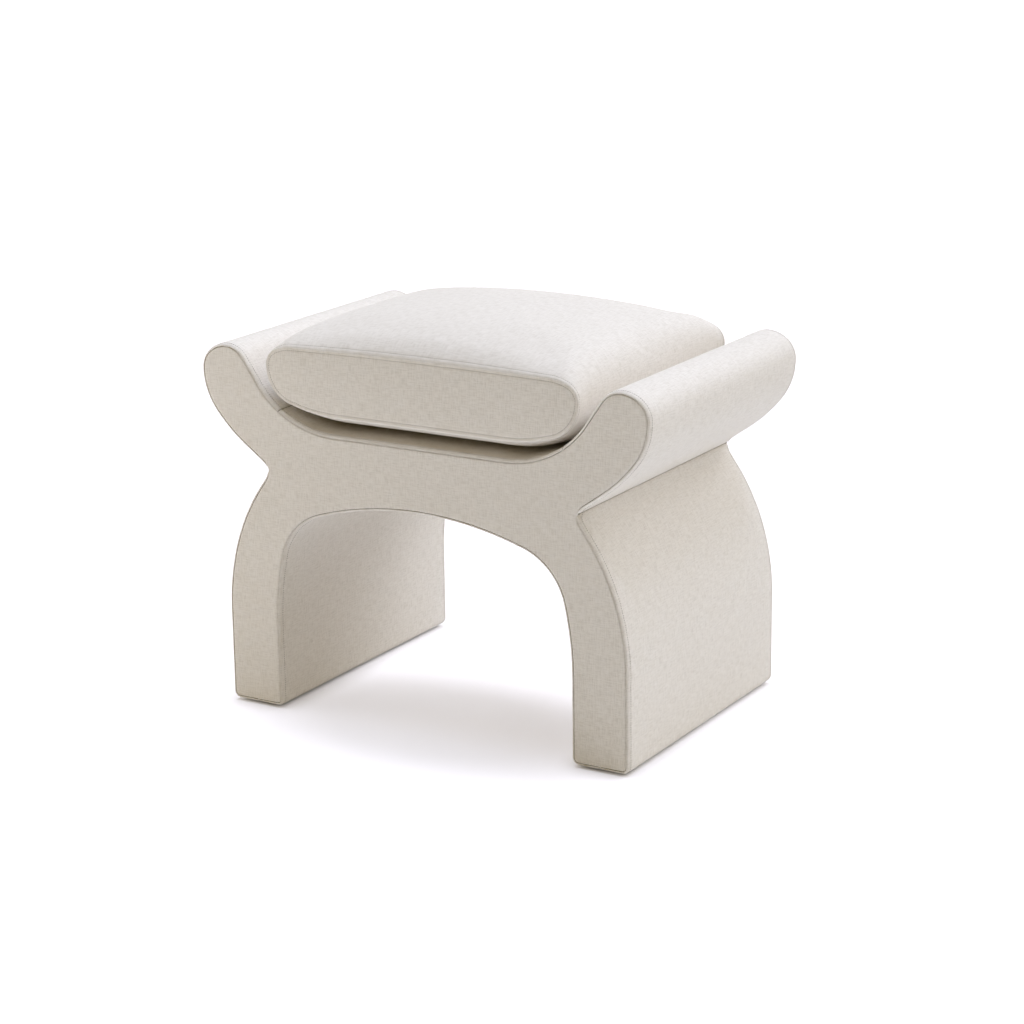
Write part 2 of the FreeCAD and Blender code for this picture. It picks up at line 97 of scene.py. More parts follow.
class StoolSizes(bpy.types.PropertyGroup):
    """Places along the profile that is carried from front to rear"""
    width: length("Width", 650, "Outside of one arm to the outside of the other")
    depth: length("Depth", 400, "Front cloth face to rear cloth face")
    waist_height: length("Waist height", 322, "Floor to the crease between leg and arm")
    arch_drop: length("Arch drop", 30, "Crown of the arch below the waist")
    seat_rise: length("Seat rise", 56, "Flat of the trough above the waist")
    arm_rise: length("Arm rise", 102, "Top of the arms above the trough")
    leg_spread: length("Leg spread", 592, "Outside of one leg to the outside of the other")
    leg_thickness: length("Leg thickness", 80, "Outside of a leg to its inside")
    trough_flat: length("Trough flat", 250, "Width of the flat of the trough")
    flank_in: length("Flank in", 87, "Inner arm flank, in from the outside of the arm")
    flank_rise: length("Flank rise", 58.5, "Inner arm flank above the trough")
    flank_slope: angle("Flank slope", 56, "Slope of the inner arm flank")
    arm_top_in: length("Arm top in", 39, "Highest line of the arm, in from its outside")
    arm_widest_drop: length("Arm widest drop", 35, "Widest line of the arm below its top")
    under_arm_in: length("Under arm in", 63, "End of the arm's underside curve, in from its outside")
    under_arm_rise: length("Under arm rise", 27, "End of the arm's underside curve above the waist")
    waist_width: length("Waist width", 448, "Crease to crease")
    waist_radius: length("Waist radius", 15, "Rounding of the crease")
    hip_out: length("Hip out", 19, "Start of the leg's swell, out from the waist")
    hip_drop: length("Hip drop", 26.5, "Start of the leg's swell below the waist")
    leg_swell_height: length("Leg swell height", 125, "Below this the leg's outside is upright")
    arch_spring_height: length("Arch spring height", 115, "Below this the leg's inside is upright")
    arch_haunch_width: length("Haunch width", 300, "Where the arch's shoulder meets its crown")
    arch_haunch_drop: length("Haunch drop", 24, "The haunch below the crown")
    foot_radius: length("Foot radius", 10, "Rounding of the feet")
    foot_level: length("Foot level", 3, "Underside of the cloth above the floor")
    cross_seam_width: length("Cross seam width", 410, "Between the two seams across the trough")


class CushionSizes(bpy.types.PropertyGroup):
    """Places on the loose cushion"""
    side_in: length("Side in", 96, "Widest line, in from the outside of the arm")
    front_gap: length("Front gap", 4, "Front end panel behind the stool's front face")
    rear_gap: length("Rear gap", 10, "Rear end panel in front of the stool's rear face")
    rest: length("Rest", 0.5, "Room between the cushion and the trough")
    seam_bottom_rise: length("Lower seam rise", 22, "Lower seam of an end panel above the trough")
    seam_top_rise: length("Upper seam rise", 109, "Upper seam of an end panel above the trough")
    crown_rise: length("Crown rise", 144, "Top of the cushion above the trough")
    top_corner_in: length("Top corner in", 42, "Where the rounded end meets the top, in from the end")
    top_corner_drop: length("Top corner drop", 12, "That place below the crown, in the middle of the cushion")
    seam_corner_drop: length("Seam corner drop", 2, "That place below the upper seam, at an end panel")
    widest_rise: length("Widest rise", 80, "Widest line of the rounded end above the trough")
    flat: length("Flat", 240, "Flat of the underside")
    seam_pull: length("Seam pull", 2, "How far an end panel is narrower than the middle, each side")
    crown_power: number("Crown power", 3.2, "How flat the cushion's top is between its seams")
    under_power: number("Under power", 5, "How flat its underside is between its seams")
    edge_roll: length("Edge roll", 34, "How far behind a seam the cloth rolls up")
    edge_share: share("Edge share", 0.45, "Share of the crown that the rolled edge gives")
    front_bulge: length("Front bulge", 2, "How far the filling pushes the front end panel out")
    rear_bulge: length("Rear bulge", 0.5, "How far the filling pushes the rear end panel out")
    panel_cloth: length("Panel cloth", 1.4, "Thickness of an end panel")
    groove: length("Groove", 1.3, "Depth of an end panel's seam")
    # Share of painted shade, the seam colour, down in the cushion's end seams
    painted_seam_shade: share("Seam shade", 0.4, "How dark the cloth is in an end panel's seam")
    slack: length("Slack", 4, "How much smaller the cushion starts before its filling swells it")
    swell_limit: length("Swell limit", 9, "Furthest that the filling moves the cloth")
    pressure: number("Pressure", 4, "Push of the filling on the cloth")


class ZipSizes(bpy.types.PropertyGroup):
    """Zip of the cushion, on its rear end panel"""
    level: length("Level", 443.5, "Middle of the zip above the floor")
    tape_rear: length("Tape rear", 188.5, "Rear of the tape behind the middle of the stool")
    length: length("Length", 380, "Length of the coil")
    coil_width: length("Coil width", 5, "Height of the coil")
    coil_height: length("Coil height", 2.2, "How far the coil stands off the tape")
    slot: length("Slot", 7, "Opening between the two halves of the rear panel")
    end_room: length("End room", 1, "Slot beyond each end of the coil")
    pitch: length("Pitch", 2, "One turn of the coil to the next")
    wire: length("Wire", 0.42, "Radius of the coil's wire")


class SeamSizes(bpy.types.PropertyGroup):
    """Edges, seams and stitches of the cloth"""
    inset: length("Seam inset", 3.2, "Seam of a face panel, in from the outline")
    roll: length("Edge roll", 7, "How far from the face the strip's edge starts to roll")
    groove: length("Groove", 2.4, "Depth of a seam's groove")
    lip: length("Lip", 0.75, "Half width of a seam's groove")
    pad: length("Pad", 7, "Thickness of the cloth and its foam")
    row_back: length("Row back", 6.2, "Stitch row on a strip behind the face")
    wrap_row: length("Wrap row", 4.2, "Stitch row on the cushion's wrap behind its seam")
    fold: length("Fold", 6, "Depth of the crease at the waist")
    fold_reach: length("Fold reach", 9, "How far from the waist the cloth turns into the crease")
    row_in: length("Row in", 4.6, "Stitch row on an end panel inside its seam")
    row_sink: length("Row sink", 0.55, "How deep a stitch row pulls the cloth")
    row_half: length("Row half width", 0.9, "Half width of the dent along a stitch row")
    pucker: length("Pucker", 0.3, "Slow waves of the cloth along a seam")
    pitch: length("Stitch pitch", 3.0, "One stitch to the next")
    stitch: length("Stitch length", 2.1, "Length of a stitch")
    thread: length("Thread", 0.32, "Radius of the thread")


class ClothLook(bpy.types.PropertyGroup):
    """Colours and weave of the linen, and the colour of the painted shade in its seams"""
    linen: colour("Linen", (0.93, 0.888, 0.83), "Cloth colour")
    slub: colour("Slub", (0.775, 0.73, 0.665), "Colour of the thick and thin yarns")
    thread: colour("Thread", (0.50, 0.46, 0.40), "Top-stitch thread")
    # seam: painted shade, the dark colour given to the cloth down in a seam's groove
    seam: colour("Seam", (0.30, 0.26, 0.21), "Cloth down in a seam")
    yarn: length("Yarn", 0.9, "Width of two yarns of the weave")


class StageLook(bpy.types.PropertyGroup):
    """Camera, lights and floor"""
    azimuth: angle("Azimuth", 31.338, "Camera round the object from the front")
    elevation: angle("Elevation", 15.794, "Camera above the horizon")
    roll: angle("Roll", -0.831, "Turn of the camera about its view")
    distance: length("Distance", 3535.85, "Camera to the middle of the object")
    aim_height: length("Aim height", 240, "Height that the camera looks at")
    focal: number("Focal length", 2716.25 / PICTURE, "In widths of the picture")
    shift_x: number("Shift X", (PICTURE / 2 - 502.02) / PICTURE, "In widths of the picture")
    shift_y: number("Shift Y", (516.70 - PICTURE / 2) / PICTURE, "In widths of the picture")
    sun_from: vector("Sun from", (0.75, 0.95, 1.0), "Direction the key light comes from")
    sun: number("Sun", 1.6, "Strength of the key light")
    sun_colour: colour("Sun colour", (0.872, 0.902, 1.0), "Colour of the key light")
    sun_spread: angle("Sun spread", 42, "Apparent size of the key and top lights")
    top_from: vector("Top from", (-0.07, 0.1, 1.0), "Direction the top light comes from")
    top: number("Top", 2.28, "Strength of the top light")
    top_colour: colour("Top colour", (0.7, 0.785, 1.0), "Colour of the top light")
    sky: number("Sky", 0.2, "Strength of the even light")
    sky_colour: colour("Sky colour", (1.0, 0.75, 0.2), "Colour of the even light")
    fill_at: vector("Fill at", (-1.1, -0.5, 0.2), "Place of the low fill light on the left", "TRANSLATION")
    fill_towards: vector("Fill towards", (-0.1, -0.15, 0.2), "Place that the fill light faces", "TRANSLATION")
    fill: number("Fill", 3.02, "Strength of the fill light", "POWER")
    fill_size: length("Fill size", 600, "Width of the fill light")
    fill_colour: colour("Fill colour", (1.0, 0.93, 0.85), "Colour of the fill light")
    floor: colour("Floor", (0.91, 0.905, 0.9), "Floor and backdrop")
    floor_reach: length("Floor reach", 12000, "Middle of the floor to its edge")
    floor_white: colour("Floor white", (0.97, 0.945, 1.0), "Plain white of the floor away from the shadow")
    floor_glow: number("Floor glow", 1.3, "Strength of that plain white")
    floor_lift: share("Floor lift", 0.37, "Share of plain white that the camera sees in the shadow")
    shadow_at: vector("Shadow at", (0.0, -0.145, 0.0), "Middle of the shadow on the floor", "TRANSLATION")
    shadow_reach: vector("Shadow reach", (0.45, 0.25, 1.0), "How far from there it has faded to white")
    shadow_core: share("Shadow core", 0.35, "Share of that reach in which it doesn't fade")
    contact: length("Contact", 30, "Reach of the dark line round a foot")


# Profile curves, as complex numbers x + iz

ARC_POINTS = 120
ROUNDING_POINTS = 30
STRAIGHT = 1e-6  # turn in radians below which an arc is a line
OUTLINE_STEP = 0.5 * MM
FOOT_TOLERANCE = 0.1 * MM


def dot(p, q):
    """Dot product of two complex numbers as vectors."""
    return (p * np.conj(q)).real


def towards(start, end):
    """Direction from start to end, one long."""
    return (end - start) / abs(end - start)


def run_along(points):
    """Length of a polyline up to each of its points, which are complex numbers or rows of x, y, z."""
    steps = np.diff(points, axis=0)
    sizes = np.abs(steps) if steps.ndim == 1 else np.linalg.norm(steps, axis=1)
    return np.concatenate([[0], np.cumsum(sizes)])


def arc(start, tangent, end, count=ARC_POINTS):
    """The arc that leaves start along tangent and reaches end.

    With a the angle from the tangent to the chord, the point at share u of the arc is at the end of a chord
    that is turned by a u from the tangent and is |chord| sin(a u) / sin(a) long.
    """
    chord = end - start
    a = np.angle(chord / tangent)
    u = np.linspace(0, 1, count)
    reach = u if abs(a) < STRAIGHT else np.sin(a * u) / np.sin(a)
    return start + abs(chord) * reach * tangent * np.exp(1j * a * u)


def biarc(start, leave, end, arrive):
    """Two arcs from start to end that keep both tangents, joined at the middle of the two equal reaches."""
    span = end - start
    spread = 2 * (1 - dot(leave, arrive))
    along = dot(span, leave + arrive)
    reach = (-along + math.sqrt(along ** 2 + spread * abs(span) ** 2)) / spread
    joint = (start + leave * reach + end - arrive * reach) / 2
    return np.concatenate([arc(start, leave, joint), arc(end, -arrive, joint)[::-1]])


def rounded(before, corner, after, radius):
    """The arc that rounds a corner, which starts radius tan(turn / 2) before it."""
    arrive, leave = towards(before, corner), towards(corner, after)
    reach = radius * math.tan(abs(np.angle(leave / arrive)) / 2)
    return arc(corner - arrive * reach, arrive, corner + leave * reach, ROUNDING_POINTS)


def evenly(points, step):
    """A polyline resampled at equal steps of its length, without repeated points."""
    points = points[np.concatenate([[True], np.abs(np.diff(points)) > TINY])]
    run = run_along(points)
    return np.interp(np.linspace(0, run[-1], int(round(run[-1] / step)) + 1), run, points)


def half_outline(z):
    """Right half of the profile, from the middle of the trough to the crown of the arch."""
    side, seat = z.width / 2, z.waist_height + z.seat_rise
    arm, arch = seat + z.arm_rise, z.waist_height - z.arch_drop
    leg_out, leg_in = z.leg_spread / 2, z.leg_spread / 2 - z.leg_thickness
    haunch_half = z.arch_haunch_width / 2
    slope = np.exp(1j * z.flank_slope)
    trough_end = complex(z.trough_flat / 2, seat)
    flank = complex(side - z.flank_in, seat + z.flank_rise)
    arm_top = complex(side - z.arm_top_in, arm)
    arm_widest = complex(side, arm - z.arm_widest_drop)
    under_arm = complex(side - z.under_arm_in, z.waist_height + z.under_arm_rise)
    waist = complex(z.waist_width / 2, z.waist_height)
    hip = waist + complex(z.hip_out, -z.hip_drop)
    leg_side = complex(leg_out, z.leg_swell_height)
    foot_outside, foot_inside = complex(leg_out, z.foot_level), complex(leg_in, z.foot_level)
    spring = complex(leg_in, z.arch_spring_height)
    haunch = complex(haunch_half, arch - z.arch_haunch_drop)
    lean = 2 * math.atan2(z.arch_haunch_drop, haunch_half)
    pieces = [
        np.array([complex(0, seat), trough_end]),
        biarc(trough_end, 1, flank, slope),
        biarc(flank, slope, arm_top, 1),
        biarc(arm_top, 1, arm_widest, -1j),
        biarc(arm_widest, -1j, under_arm, towards(under_arm, waist)),
        rounded(under_arm, waist, hip, z.waist_radius),
        biarc(hip, towards(waist, hip), leg_side, -1j),
        rounded(leg_side, foot_outside, foot_inside, z.foot_radius),
        rounded(foot_outside, foot_inside, spring, z.foot_radius),
        biarc(spring, 1j, haunch, -np.exp(-1j * lean)),
        arc(complex(0, arch), 1, haunch)[::-1],
    ]
    return evenly(np.concatenate(pieces), OUTLINE_STEP)


class Outline:
    """The closed profile by its length s from the middle of the trough, with its normals and strip ends."""

    def __init__(self, z):
        half = half_outline(z)
        self.points = np.concatenate([half, -np.conj(half)[-2::-1]])
        self.s = run_along(self.points)
        self.round = self.s[-1]
        sides = len(self.points) - 1
        order = np.arange(sides + 1)
        heading = self.points[(order + 1) % sides] - self.points[(order - 1) % sides]
        self.normals = 1j * heading / np.abs(heading)
        past_widest = np.arange(len(half)) > half.real.argmax()
        middle = z.leg_spread / 2 - z.leg_thickness / 2
        on_foot = (half.imag < z.foot_level + FOOT_TOLERANCE) & (half.real <= middle)
        self.cross = self.s[np.argmax(half.real >= z.cross_seam_width / 2)]
        self.waist = self.s[np.argmax(past_widest & (half.imag <= z.waist_height))]
        self.foot = self.s[np.argmax(past_widest & on_foot)]

    def at(self, s):
        """Points and outward normals at lengths s, round the closed profile."""
        point = np.interp(s, self.s, self.points, period=self.round)
        normal = np.interp(s, self.s, self.normals, period=self.round)
        return point, normal / np.abs(normal)


# Mesh helpers

EDGE_ROOM = 0.6  # share of a lattice step that is kept free along an edge


def unit(vectors):
    """Rows of x, y, z made one long."""
    return vectors / np.linalg.norm(vectors, axis=-1, keepdims=True)


def bell(distance, middle, half):
    """A bell exp(-t^2), with t the distance from the middle in half widths."""
    return np.exp(-((distance - middle) / half) ** 2)


def tube_faces(rows, columns):
    """Quads of rows of vertices that each close in a ring, facing the row step x the column step."""
    row, column = np.meshgrid(np.arange(rows - 1), np.arange(columns), indexing="ij")
    here, beyond = row * columns, (row + 1) * columns
    after = (column + 1) % columns
    quads = np.stack([here + column, beyond + column, beyond + after, here + after], axis=-1)
    return quads.reshape(-1, 4).tolist()


def end_faces(rows, columns):
    """The two faces that close such a tube at its first and its last row."""
    last = (rows - 1) * columns
    return [list(range(columns)), list(range(last, last + columns))[::-1]]


def within(ring, points):
    """Which points are inside a closed ring: those with an odd number of the ring's sides to their right."""
    start, end = ring, np.roll(ring, -1)
    crosses = (start.imag > points.imag[:, None]) != (end.imag > points.imag[:, None])
    run = np.where(start.imag == end.imag, 1, end.imag - start.imag)
    cut = start.real + (points.imag[:, None] - start.imag) * (end.real - start.real) / run
    return (crosses & (cut > points.real[:, None])).sum(1) % 2 == 1


def filled(ring, step, hole):
    """Triangles over the inside of a closed ring less a hole, with a lattice of points a step apart.

    Returns the lattice, and triangles that count the points of the ring, the hole and the lattice in turn.
    """
    x = np.arange(ring.real.min(), ring.real.max(), step)
    level = np.arange(ring.imag.min(), ring.imag.max(), step)
    lattice = (x[:, None] + 1j * level[None]).ravel()
    edge = np.concatenate([ring, hole])
    clear = np.abs(lattice[:, None] - edge[None]).min(1) > EDGE_ROOM * step
    lattice = lattice[within(ring, lattice) & ~within(hole, lattice) & clear]
    points = np.concatenate([edge, lattice])
    loops = np.arange(len(ring)), np.arange(len(hole)) + len(ring)
    sides = np.concatenate([np.stack([loop, np.roll(loop, -1)], axis=1) for loop in loops]).tolist()
    flat = [Vector((p.real, p.imag)) for p in points]
    _, _, triangles, sources, _, _ = delaunay_2d_cdt(flat, sides, [], 1, TINY)
    source = np.array([one[0] for one in sources])
    triangles = source[np.array(triangles)]
    return lattice, triangles[~within(hole, points[triangles].mean(1))]


def make_piece(name, vertices, faces, material, uv=None, seam=None):
    """A smooth mesh object at the origin. Its UV map is the cloth in metres, and seam is the share of painted
    seam shade, 1 down in a seam.
    """
    mesh = bpy.data.meshes.new(name)
    mesh.from_pydata(np.asarray(vertices, float).reshape(-1, 3).tolist(), [], faces)
    mesh.polygons.foreach_set("use_smooth", np.ones(len(mesh.polygons), bool))
    if uv is not None:
        corners = np.zeros(len(mesh.loops), np.int32)
        mesh.loops.foreach_get("vertex_index", corners)
        layer = mesh.uv_layers.new(name="cloth")
        layer.data.foreach_set("uv", np.asarray(uv, np.float32).reshape(-1, 2)[corners].ravel())
    # The seam attribute marks where the linen gets painted shade
    if seam is not None:
        shade = mesh.attributes.new("seam", "FLOAT", "POINT")
        shade.data.foreach_set("value", np.asarray(seam, np.float32).ravel())
    mesh.materials.append(material)
    mesh.validate()
    piece = bpy.data.objects.new(name, mesh)
    bpy.context.scene.collection.objects.link(piece)
    return piece


def dress(piece, body, replaces=()):
    """Puts a piece on its body and hides the parts that it stands for."""
    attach(piece, body)
    if replaces:
        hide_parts(*replaces)


def spread_out(span, step, ends):
    """Places from 0 to span: given in millimetres at both ends, and about a step apart between."""
    ends = np.asarray(ends) * MM
    inner = span - 2 * ends[-1]
    middle = np.linspace(ends[-1], span - ends[-1], max(int(round(inner / step)), 1) + 1)
    return np.concatenate([ends[:-1], middle, (span - ends[:-1])[::-1]])


def roll_down(distance, reach, depth):
    """How far an edge drops: a quarter ellipse, depth at the edge and nothing from reach on."""
    t = np.clip(1 - distance / reach, 0, 1)
    return depth * (1 - np.sqrt(1 - t ** 2))


def slow_waves(s, seed):
    """An uneven wave along a seam, between about -1 and 1: three sines whose lengths don't fit each other."""
    lengths = np.array([47, 29, 17]) * MM
    phases = seed * np.array([1.7, 2.9, 4.1])
    weights = np.array([0.5, 0.3, 0.2])
    return (weights * np.sin(2 * np.pi * np.asarray(s)[..., None] / lengths + phases)).sum(-1)


def stitch_row(name, points, normals, seams, material):
    """A row of thread stitches along a path: five rings of six points, sunk into the cloth at both ends.

    Each stitch stands at a middle of pitch steps along the path, in the frame of the path's tangent t,
    the cloth's normal n and their cross product b: middle + t along + radius (b cos + n sin) + n height.
    """
    run = run_along(points)
    count = int(run[-1] / seams.pitch)
    place = (np.arange(count) + 0.5) * run[-1] / count

    def along(values):
        return np.stack([np.interp(place, run, values[:, k]) for k in range(3)], axis=1)

    middle, normal = along(points), along(normals)
    tangent = unit(along(np.gradient(points, run, axis=0)))
    normal = unit(normal - tangent * (normal * tangent).sum(1, keepdims=True))
    across = np.cross(tangent, normal)
    offset = np.array([-0.5, -0.3, 0, 0.3, 0.5]) * seams.stitch
    height = np.array([-0.7, 0.25, 0.5, 0.25, -0.7]) * seams.thread
    radius = np.array([0.6, 1, 1, 1, 0.6]) * seams.thread
    rings, around = len(offset), 6
    turn = np.arange(around) * 2 * np.pi / around
    ring = radius[:, None, None] * np.stack([np.cos(turn), np.sin(turn)], axis=1)
    vertices = (middle[:, None, None]
                + tangent[:, None, None] * offset[None, :, None, None]
                + across[:, None, None] * ring[None, :, :, :1]
                + normal[:, None, None] * (ring[None, :, :, 1:] + height[None, :, None, None]))
    first = rings * around * np.arange(count)[:, None, None]
    sides = (np.array(tube_faces(rings, around)) + first).reshape(-1, 4).tolist()
    ends = (np.array(end_faces(rings, around)) + first).reshape(-1, around).tolist()
    return make_piece(name, vertices, sides + ends, material)


# Materials

PLAIN = (1, 1, 1)  # noise that isn't stretched

# Grained finishes: light and dark colour, grain per metre and its stretch, roughness and depth of the bump
GRAINS = {
    "white_nylon": ((0.74, 0.73, 0.70), (0.62, 0.60, 0.56), 260, PLAIN, 0.4, 0.05 * MM),
    "sawn_pine": ((0.72, 0.52, 0.30), (0.55, 0.35, 0.17), 40, (9, 0.6, 9), 0.62, 0.3 * MM),
    "curved_board": ((0.52, 0.36, 0.22), (0.40, 0.26, 0.15), 90, PLAIN, 0.7, 0.2 * MM),
    "black_dust_cloth": ((0.10, 0.10, 0.105), (0.04, 0.04, 0.045), 700, PLAIN, 0.9, 0.2 * MM),
    "bright_steel": ((0.60, 0.60, 0.61), (0.42, 0.42, 0.43), 900, (1, 1, 0.1), 0.35, 0.02 * MM),
    "zip_nickel": ((0.70, 0.68, 0.64), (0.48, 0.46, 0.43), 700, PLAIN, 0.3, 0.03 * MM),
}
METALS = ("bright_steel", "zip_nickel")

# Finish of each node that shows, by the first of these words that is in its name
FINISHES = (
    ("_rib", "birch_plywood"),
    ("_batten", "sawn_pine"),
    ("foot_board", "sawn_pine"),
    ("_skin", "curved_board"),
    ("dust_cover", "black_dust_cloth"),
    ("glide_nails", "bright_steel"),
    ("foot_screws", "bright_steel"),
    ("glide_", "white_nylon"),
    ("zip_tape", "zip_tape_twill"),
    ("zip_", "zip_nickel"),
)


def new_material(name, **constants):
    """A material whose constants sit on the shader's own sockets."""
    material = bpy.data.materials.new(name)
    material.use_nodes = True
    shader = material.node_tree.nodes["Principled BSDF"]
    for socket, value in constants.items():
        shader.inputs[socket.replace("_", " ")].default_value = value
    return material, material.node_tree, shader


def kept(name, build, *args):
    """The material of that name, built the first time that it is asked for."""
    return bpy.data.materials.get(name) or build(*args)


def add(tree, kind, settings=None, **sockets):
    """A node with its settings and sockets, named or as i0, i1 and so on. An output given is linked."""
    node = tree.nodes.new(kind)
    for key, value in (settings or {}).items():
        setattr(node, key, value)
    for key, value in sockets.items():
        numbered = key[0] == "i" and key[1:].isdigit()
        socket = node.inputs[int(key[1:]) if numbered else key.replace("_", " ")]
        if isinstance(value, bpy.types.NodeSocket):
            tree.links.new(value, socket)
        else:
            socket.default_value = value
    return node


def calc(tree, operation, *values):
    """A Math node on numbers or outputs."""
    node = add(tree, "ShaderNodeMath", {"operation": operation}, **{f"i{k}": v for k, v in enumerate(values)})
    return node.outputs[0]


def mixed(tree, factor, first, second):
    """A Mix node on two colours, each an output or three shares."""
    ends = [end if isinstance(end, bpy.types.NodeSocket) else (*end, 1) for end in (first, second)]
    node = add(tree, "ShaderNodeMix", {"data_type": "RGBA"}, Factor=factor, i6=ends[0], i7=ends[1])
    return node.outputs[2]


def painted(tree, shader, factor, first, second):
    """Gives the shader two colours mixed by a factor."""
    tree.links.new(mixed(tree, factor, first, second), shader.inputs["Base Color"])


def noise(tree, coordinates, scale, detail=2.0, stretch=PLAIN, dimensions="3D"):
    """Noise read through a stretch of the coordinates."""
    mapping = add(tree, "ShaderNodeMapping", Vector=coordinates, Scale=stretch)
    node = add(tree, "ShaderNodeTexNoise", {"noise_dimensions": dimensions}, Vector=mapping.outputs[0],
               Scale=scale, Detail=detail)
    return node.outputs["Fac"]


def bumped(tree, shader, height, distance, strength):
    """Gives the shader a bump of that distance."""
    bump = add(tree, "ShaderNodeBump", Height=height, Distance=distance, Strength=strength)
    tree.links.new(bump.outputs[0], shader.inputs["Normal"])


def roughened(tree, shader, value, low, high):
    """Gives the shader a roughness from low to high as the value goes from 0 to 1."""
    roughness = add(tree, "ShaderNodeMapRange", Value=value, To_Min=low, To_Max=high)
    tree.links.new(roughness.outputs[0], shader.inputs["Roughness"])


def linen_material(look):
    """Plain weave in UV metres, with slubs along both yarns, fine specks and slow mottling.

    The weave is a product of two sines. The slub colour's share is a base and the weighted sum of the streaks
    along both yarns, the specks, the weave and the mottling, each less its middle. The seam attribute mixes
    in painted shade, the seam colour, down in the seams.
    """
    material, tree, shader = new_material("ivory_linen", Roughness=0.92, Specular_IOR_Level=0.18,
                                          Sheen_Weight=0.12, Sheen_Roughness=0.45)
    base, streak_weight, speck_weight, weave_weight, mottle_weight = 0.34, 1.6, 0.6, 0.1, 0.12
    slub_along, slub_across = 80, 720
    cloth = add(tree, "ShaderNodeUVMap", {"uv_map": "cloth"}).outputs[0]
    split = add(tree, "ShaderNodeSeparateXYZ", Vector=cloth)
    turn = 2 * math.pi / look.yarn
    warp = calc(tree, "SINE", calc(tree, "MULTIPLY", split.outputs[0], turn))
    weft = calc(tree, "SINE", calc(tree, "MULTIPLY", split.outputs[1], turn))
    weave = calc(tree, "MULTIPLY", warp, weft)
    along = noise(tree, cloth, 1.0, stretch=(slub_along, slub_across, 1), dimensions="2D")
    across = noise(tree, cloth, 1.0, stretch=(slub_across, slub_along, 1), dimensions="2D")
    specks = noise(tree, cloth, 900.0, 1.0, dimensions="2D")
    mottle = noise(tree, cloth, 14.0, 3.0, dimensions="2D")
    streaks = calc(tree, "ADD", along, across)
    slub = calc(tree, "MULTIPLY_ADD", calc(tree, "SUBTRACT", streaks, 1.0), streak_weight, base)
    slub = calc(tree, "MULTIPLY_ADD", calc(tree, "SUBTRACT", specks, 0.5), speck_weight, slub)
    slub = calc(tree, "MULTIPLY_ADD", weave, weave_weight, slub)
    slub = calc(tree, "MULTIPLY_ADD", calc(tree, "SUBTRACT", mottle, 0.5), mottle_weight, slub)
    slub = add(tree, "ShaderNodeClamp", Value=slub).outputs[0]
    # Painted shade: the seam attribute mixes the linen towards the dark seam colour in the seams' grooves
    deep = add(tree, "ShaderNodeAttribute", {"attribute_name": "seam"}).outputs["Fac"]
    painted(tree, shader, deep, mixed(tree, slub, look.linen, look.slub), look.seam)
    height = calc(tree, "MULTIPLY_ADD", weave, 0.3, calc(tree, "MULTIPLY", streaks, 0.4))
    bumped(tree, shader, height, 0.3 * MM, 0.18)
    return material


def thread_material(look):
    """Twisted thread: fine bands of light and dark along each stitch."""
    material, tree, shader = new_material("stitch_thread", Roughness=0.8, Specular_IOR_Level=0.25)
    place = add(tree, "ShaderNodeTexCoord").outputs["Object"]
    twist = noise(tree, place, 2600.0, 1.0)
    shade = 0.72
    painted(tree, shader, twist, [c * shade for c in look.thread], look.thread)
    bumped(tree, shader, twist, 0.1 * MM, 0.4)
    return material


def grained_material(name):
    """Two colours mixed by stretched noise on Object coordinates, with roughness and bump from it."""
    light, dark, scale, stretch, rough, bump = GRAINS[name]
    finer, rough_spread = 7, 0.08
    material, tree, shader = new_material(name, Metallic=float(name in METALS))
    place = add(tree, "ShaderNodeTexCoord").outputs["Object"]
    grain = noise(tree, place, scale, 4.0, stretch)
    flecks = noise(tree, place, scale * finer, 2.0, stretch)
    both = calc(tree, "MULTIPLY_ADD", calc(tree, "SUBTRACT", flecks, 0.5), 0.5, grain)
    steep = add(tree, "ShaderNodeMapRange", Value=both, From_Min=0.3, From_Max=0.7).outputs[0]
    painted(tree, shader, steep, dark, light)
    roughened(tree, shader, both, rough + rough_spread, rough - rough_spread)
    bumped(tree, shader, both, bump, 0.4)
    return material


def plywood_material():
    """Rib plywood: plies as bands along the rib's thickness, wood grain across the face."""
    material, tree, shader = new_material("birch_plywood", Specular_IOR_Level=0.3)
    dark, light, ply_thickness = (0.50, 0.32, 0.17), (0.74, 0.56, 0.36), 1.5 * MM
    place = add(tree, "ShaderNodeTexCoord").outputs["Object"]
    split = add(tree, "ShaderNodeSeparateXYZ", Vector=place)
    ply = calc(tree, "SINE", calc(tree, "MULTIPLY", split.outputs[1], math.pi / ply_thickness))
    grain = noise(tree, place, 60.0, 4.0, (1, 1, 9))
    tone = calc(tree, "MULTIPLY_ADD", ply, 0.25, grain)
    painted(tree, shader, tone, dark, light)
    roughened(tree, shader, grain, 0.5, 0.75)
    bumped(tree, shader, tone, 0.2 * MM, 0.4)
    return material


def zip_tape_material():
    """Twill tape: slanted ribs on Object coordinates."""
    material, tree, shader = new_material("zip_tape_twill", Roughness=0.75, Specular_IOR_Level=0.2)
    dark, light, rib_pitch = (0.62, 0.58, 0.52), (0.80, 0.77, 0.71), 1.1 * MM
    place = add(tree, "ShaderNodeTexCoord").outputs["Object"]
    split = add(tree, "ShaderNodeSeparateXYZ", Vector=place)
    slant = calc(tree, "ADD", split.outputs[0], split.outputs[2])
    rib = calc(tree, "SINE", calc(tree, "MULTIPLY", slant, 2 * math.pi / rib_pitch))
    tone = calc(tree, "MULTIPLY_ADD", rib, 0.3, noise(tree, place, 500.0))
    painted(tree, shader, tone, dark, light)
    bumped(tree, shader, rib, 0.2 * MM, 0.5)
    return material


# Strips and faces of the stool

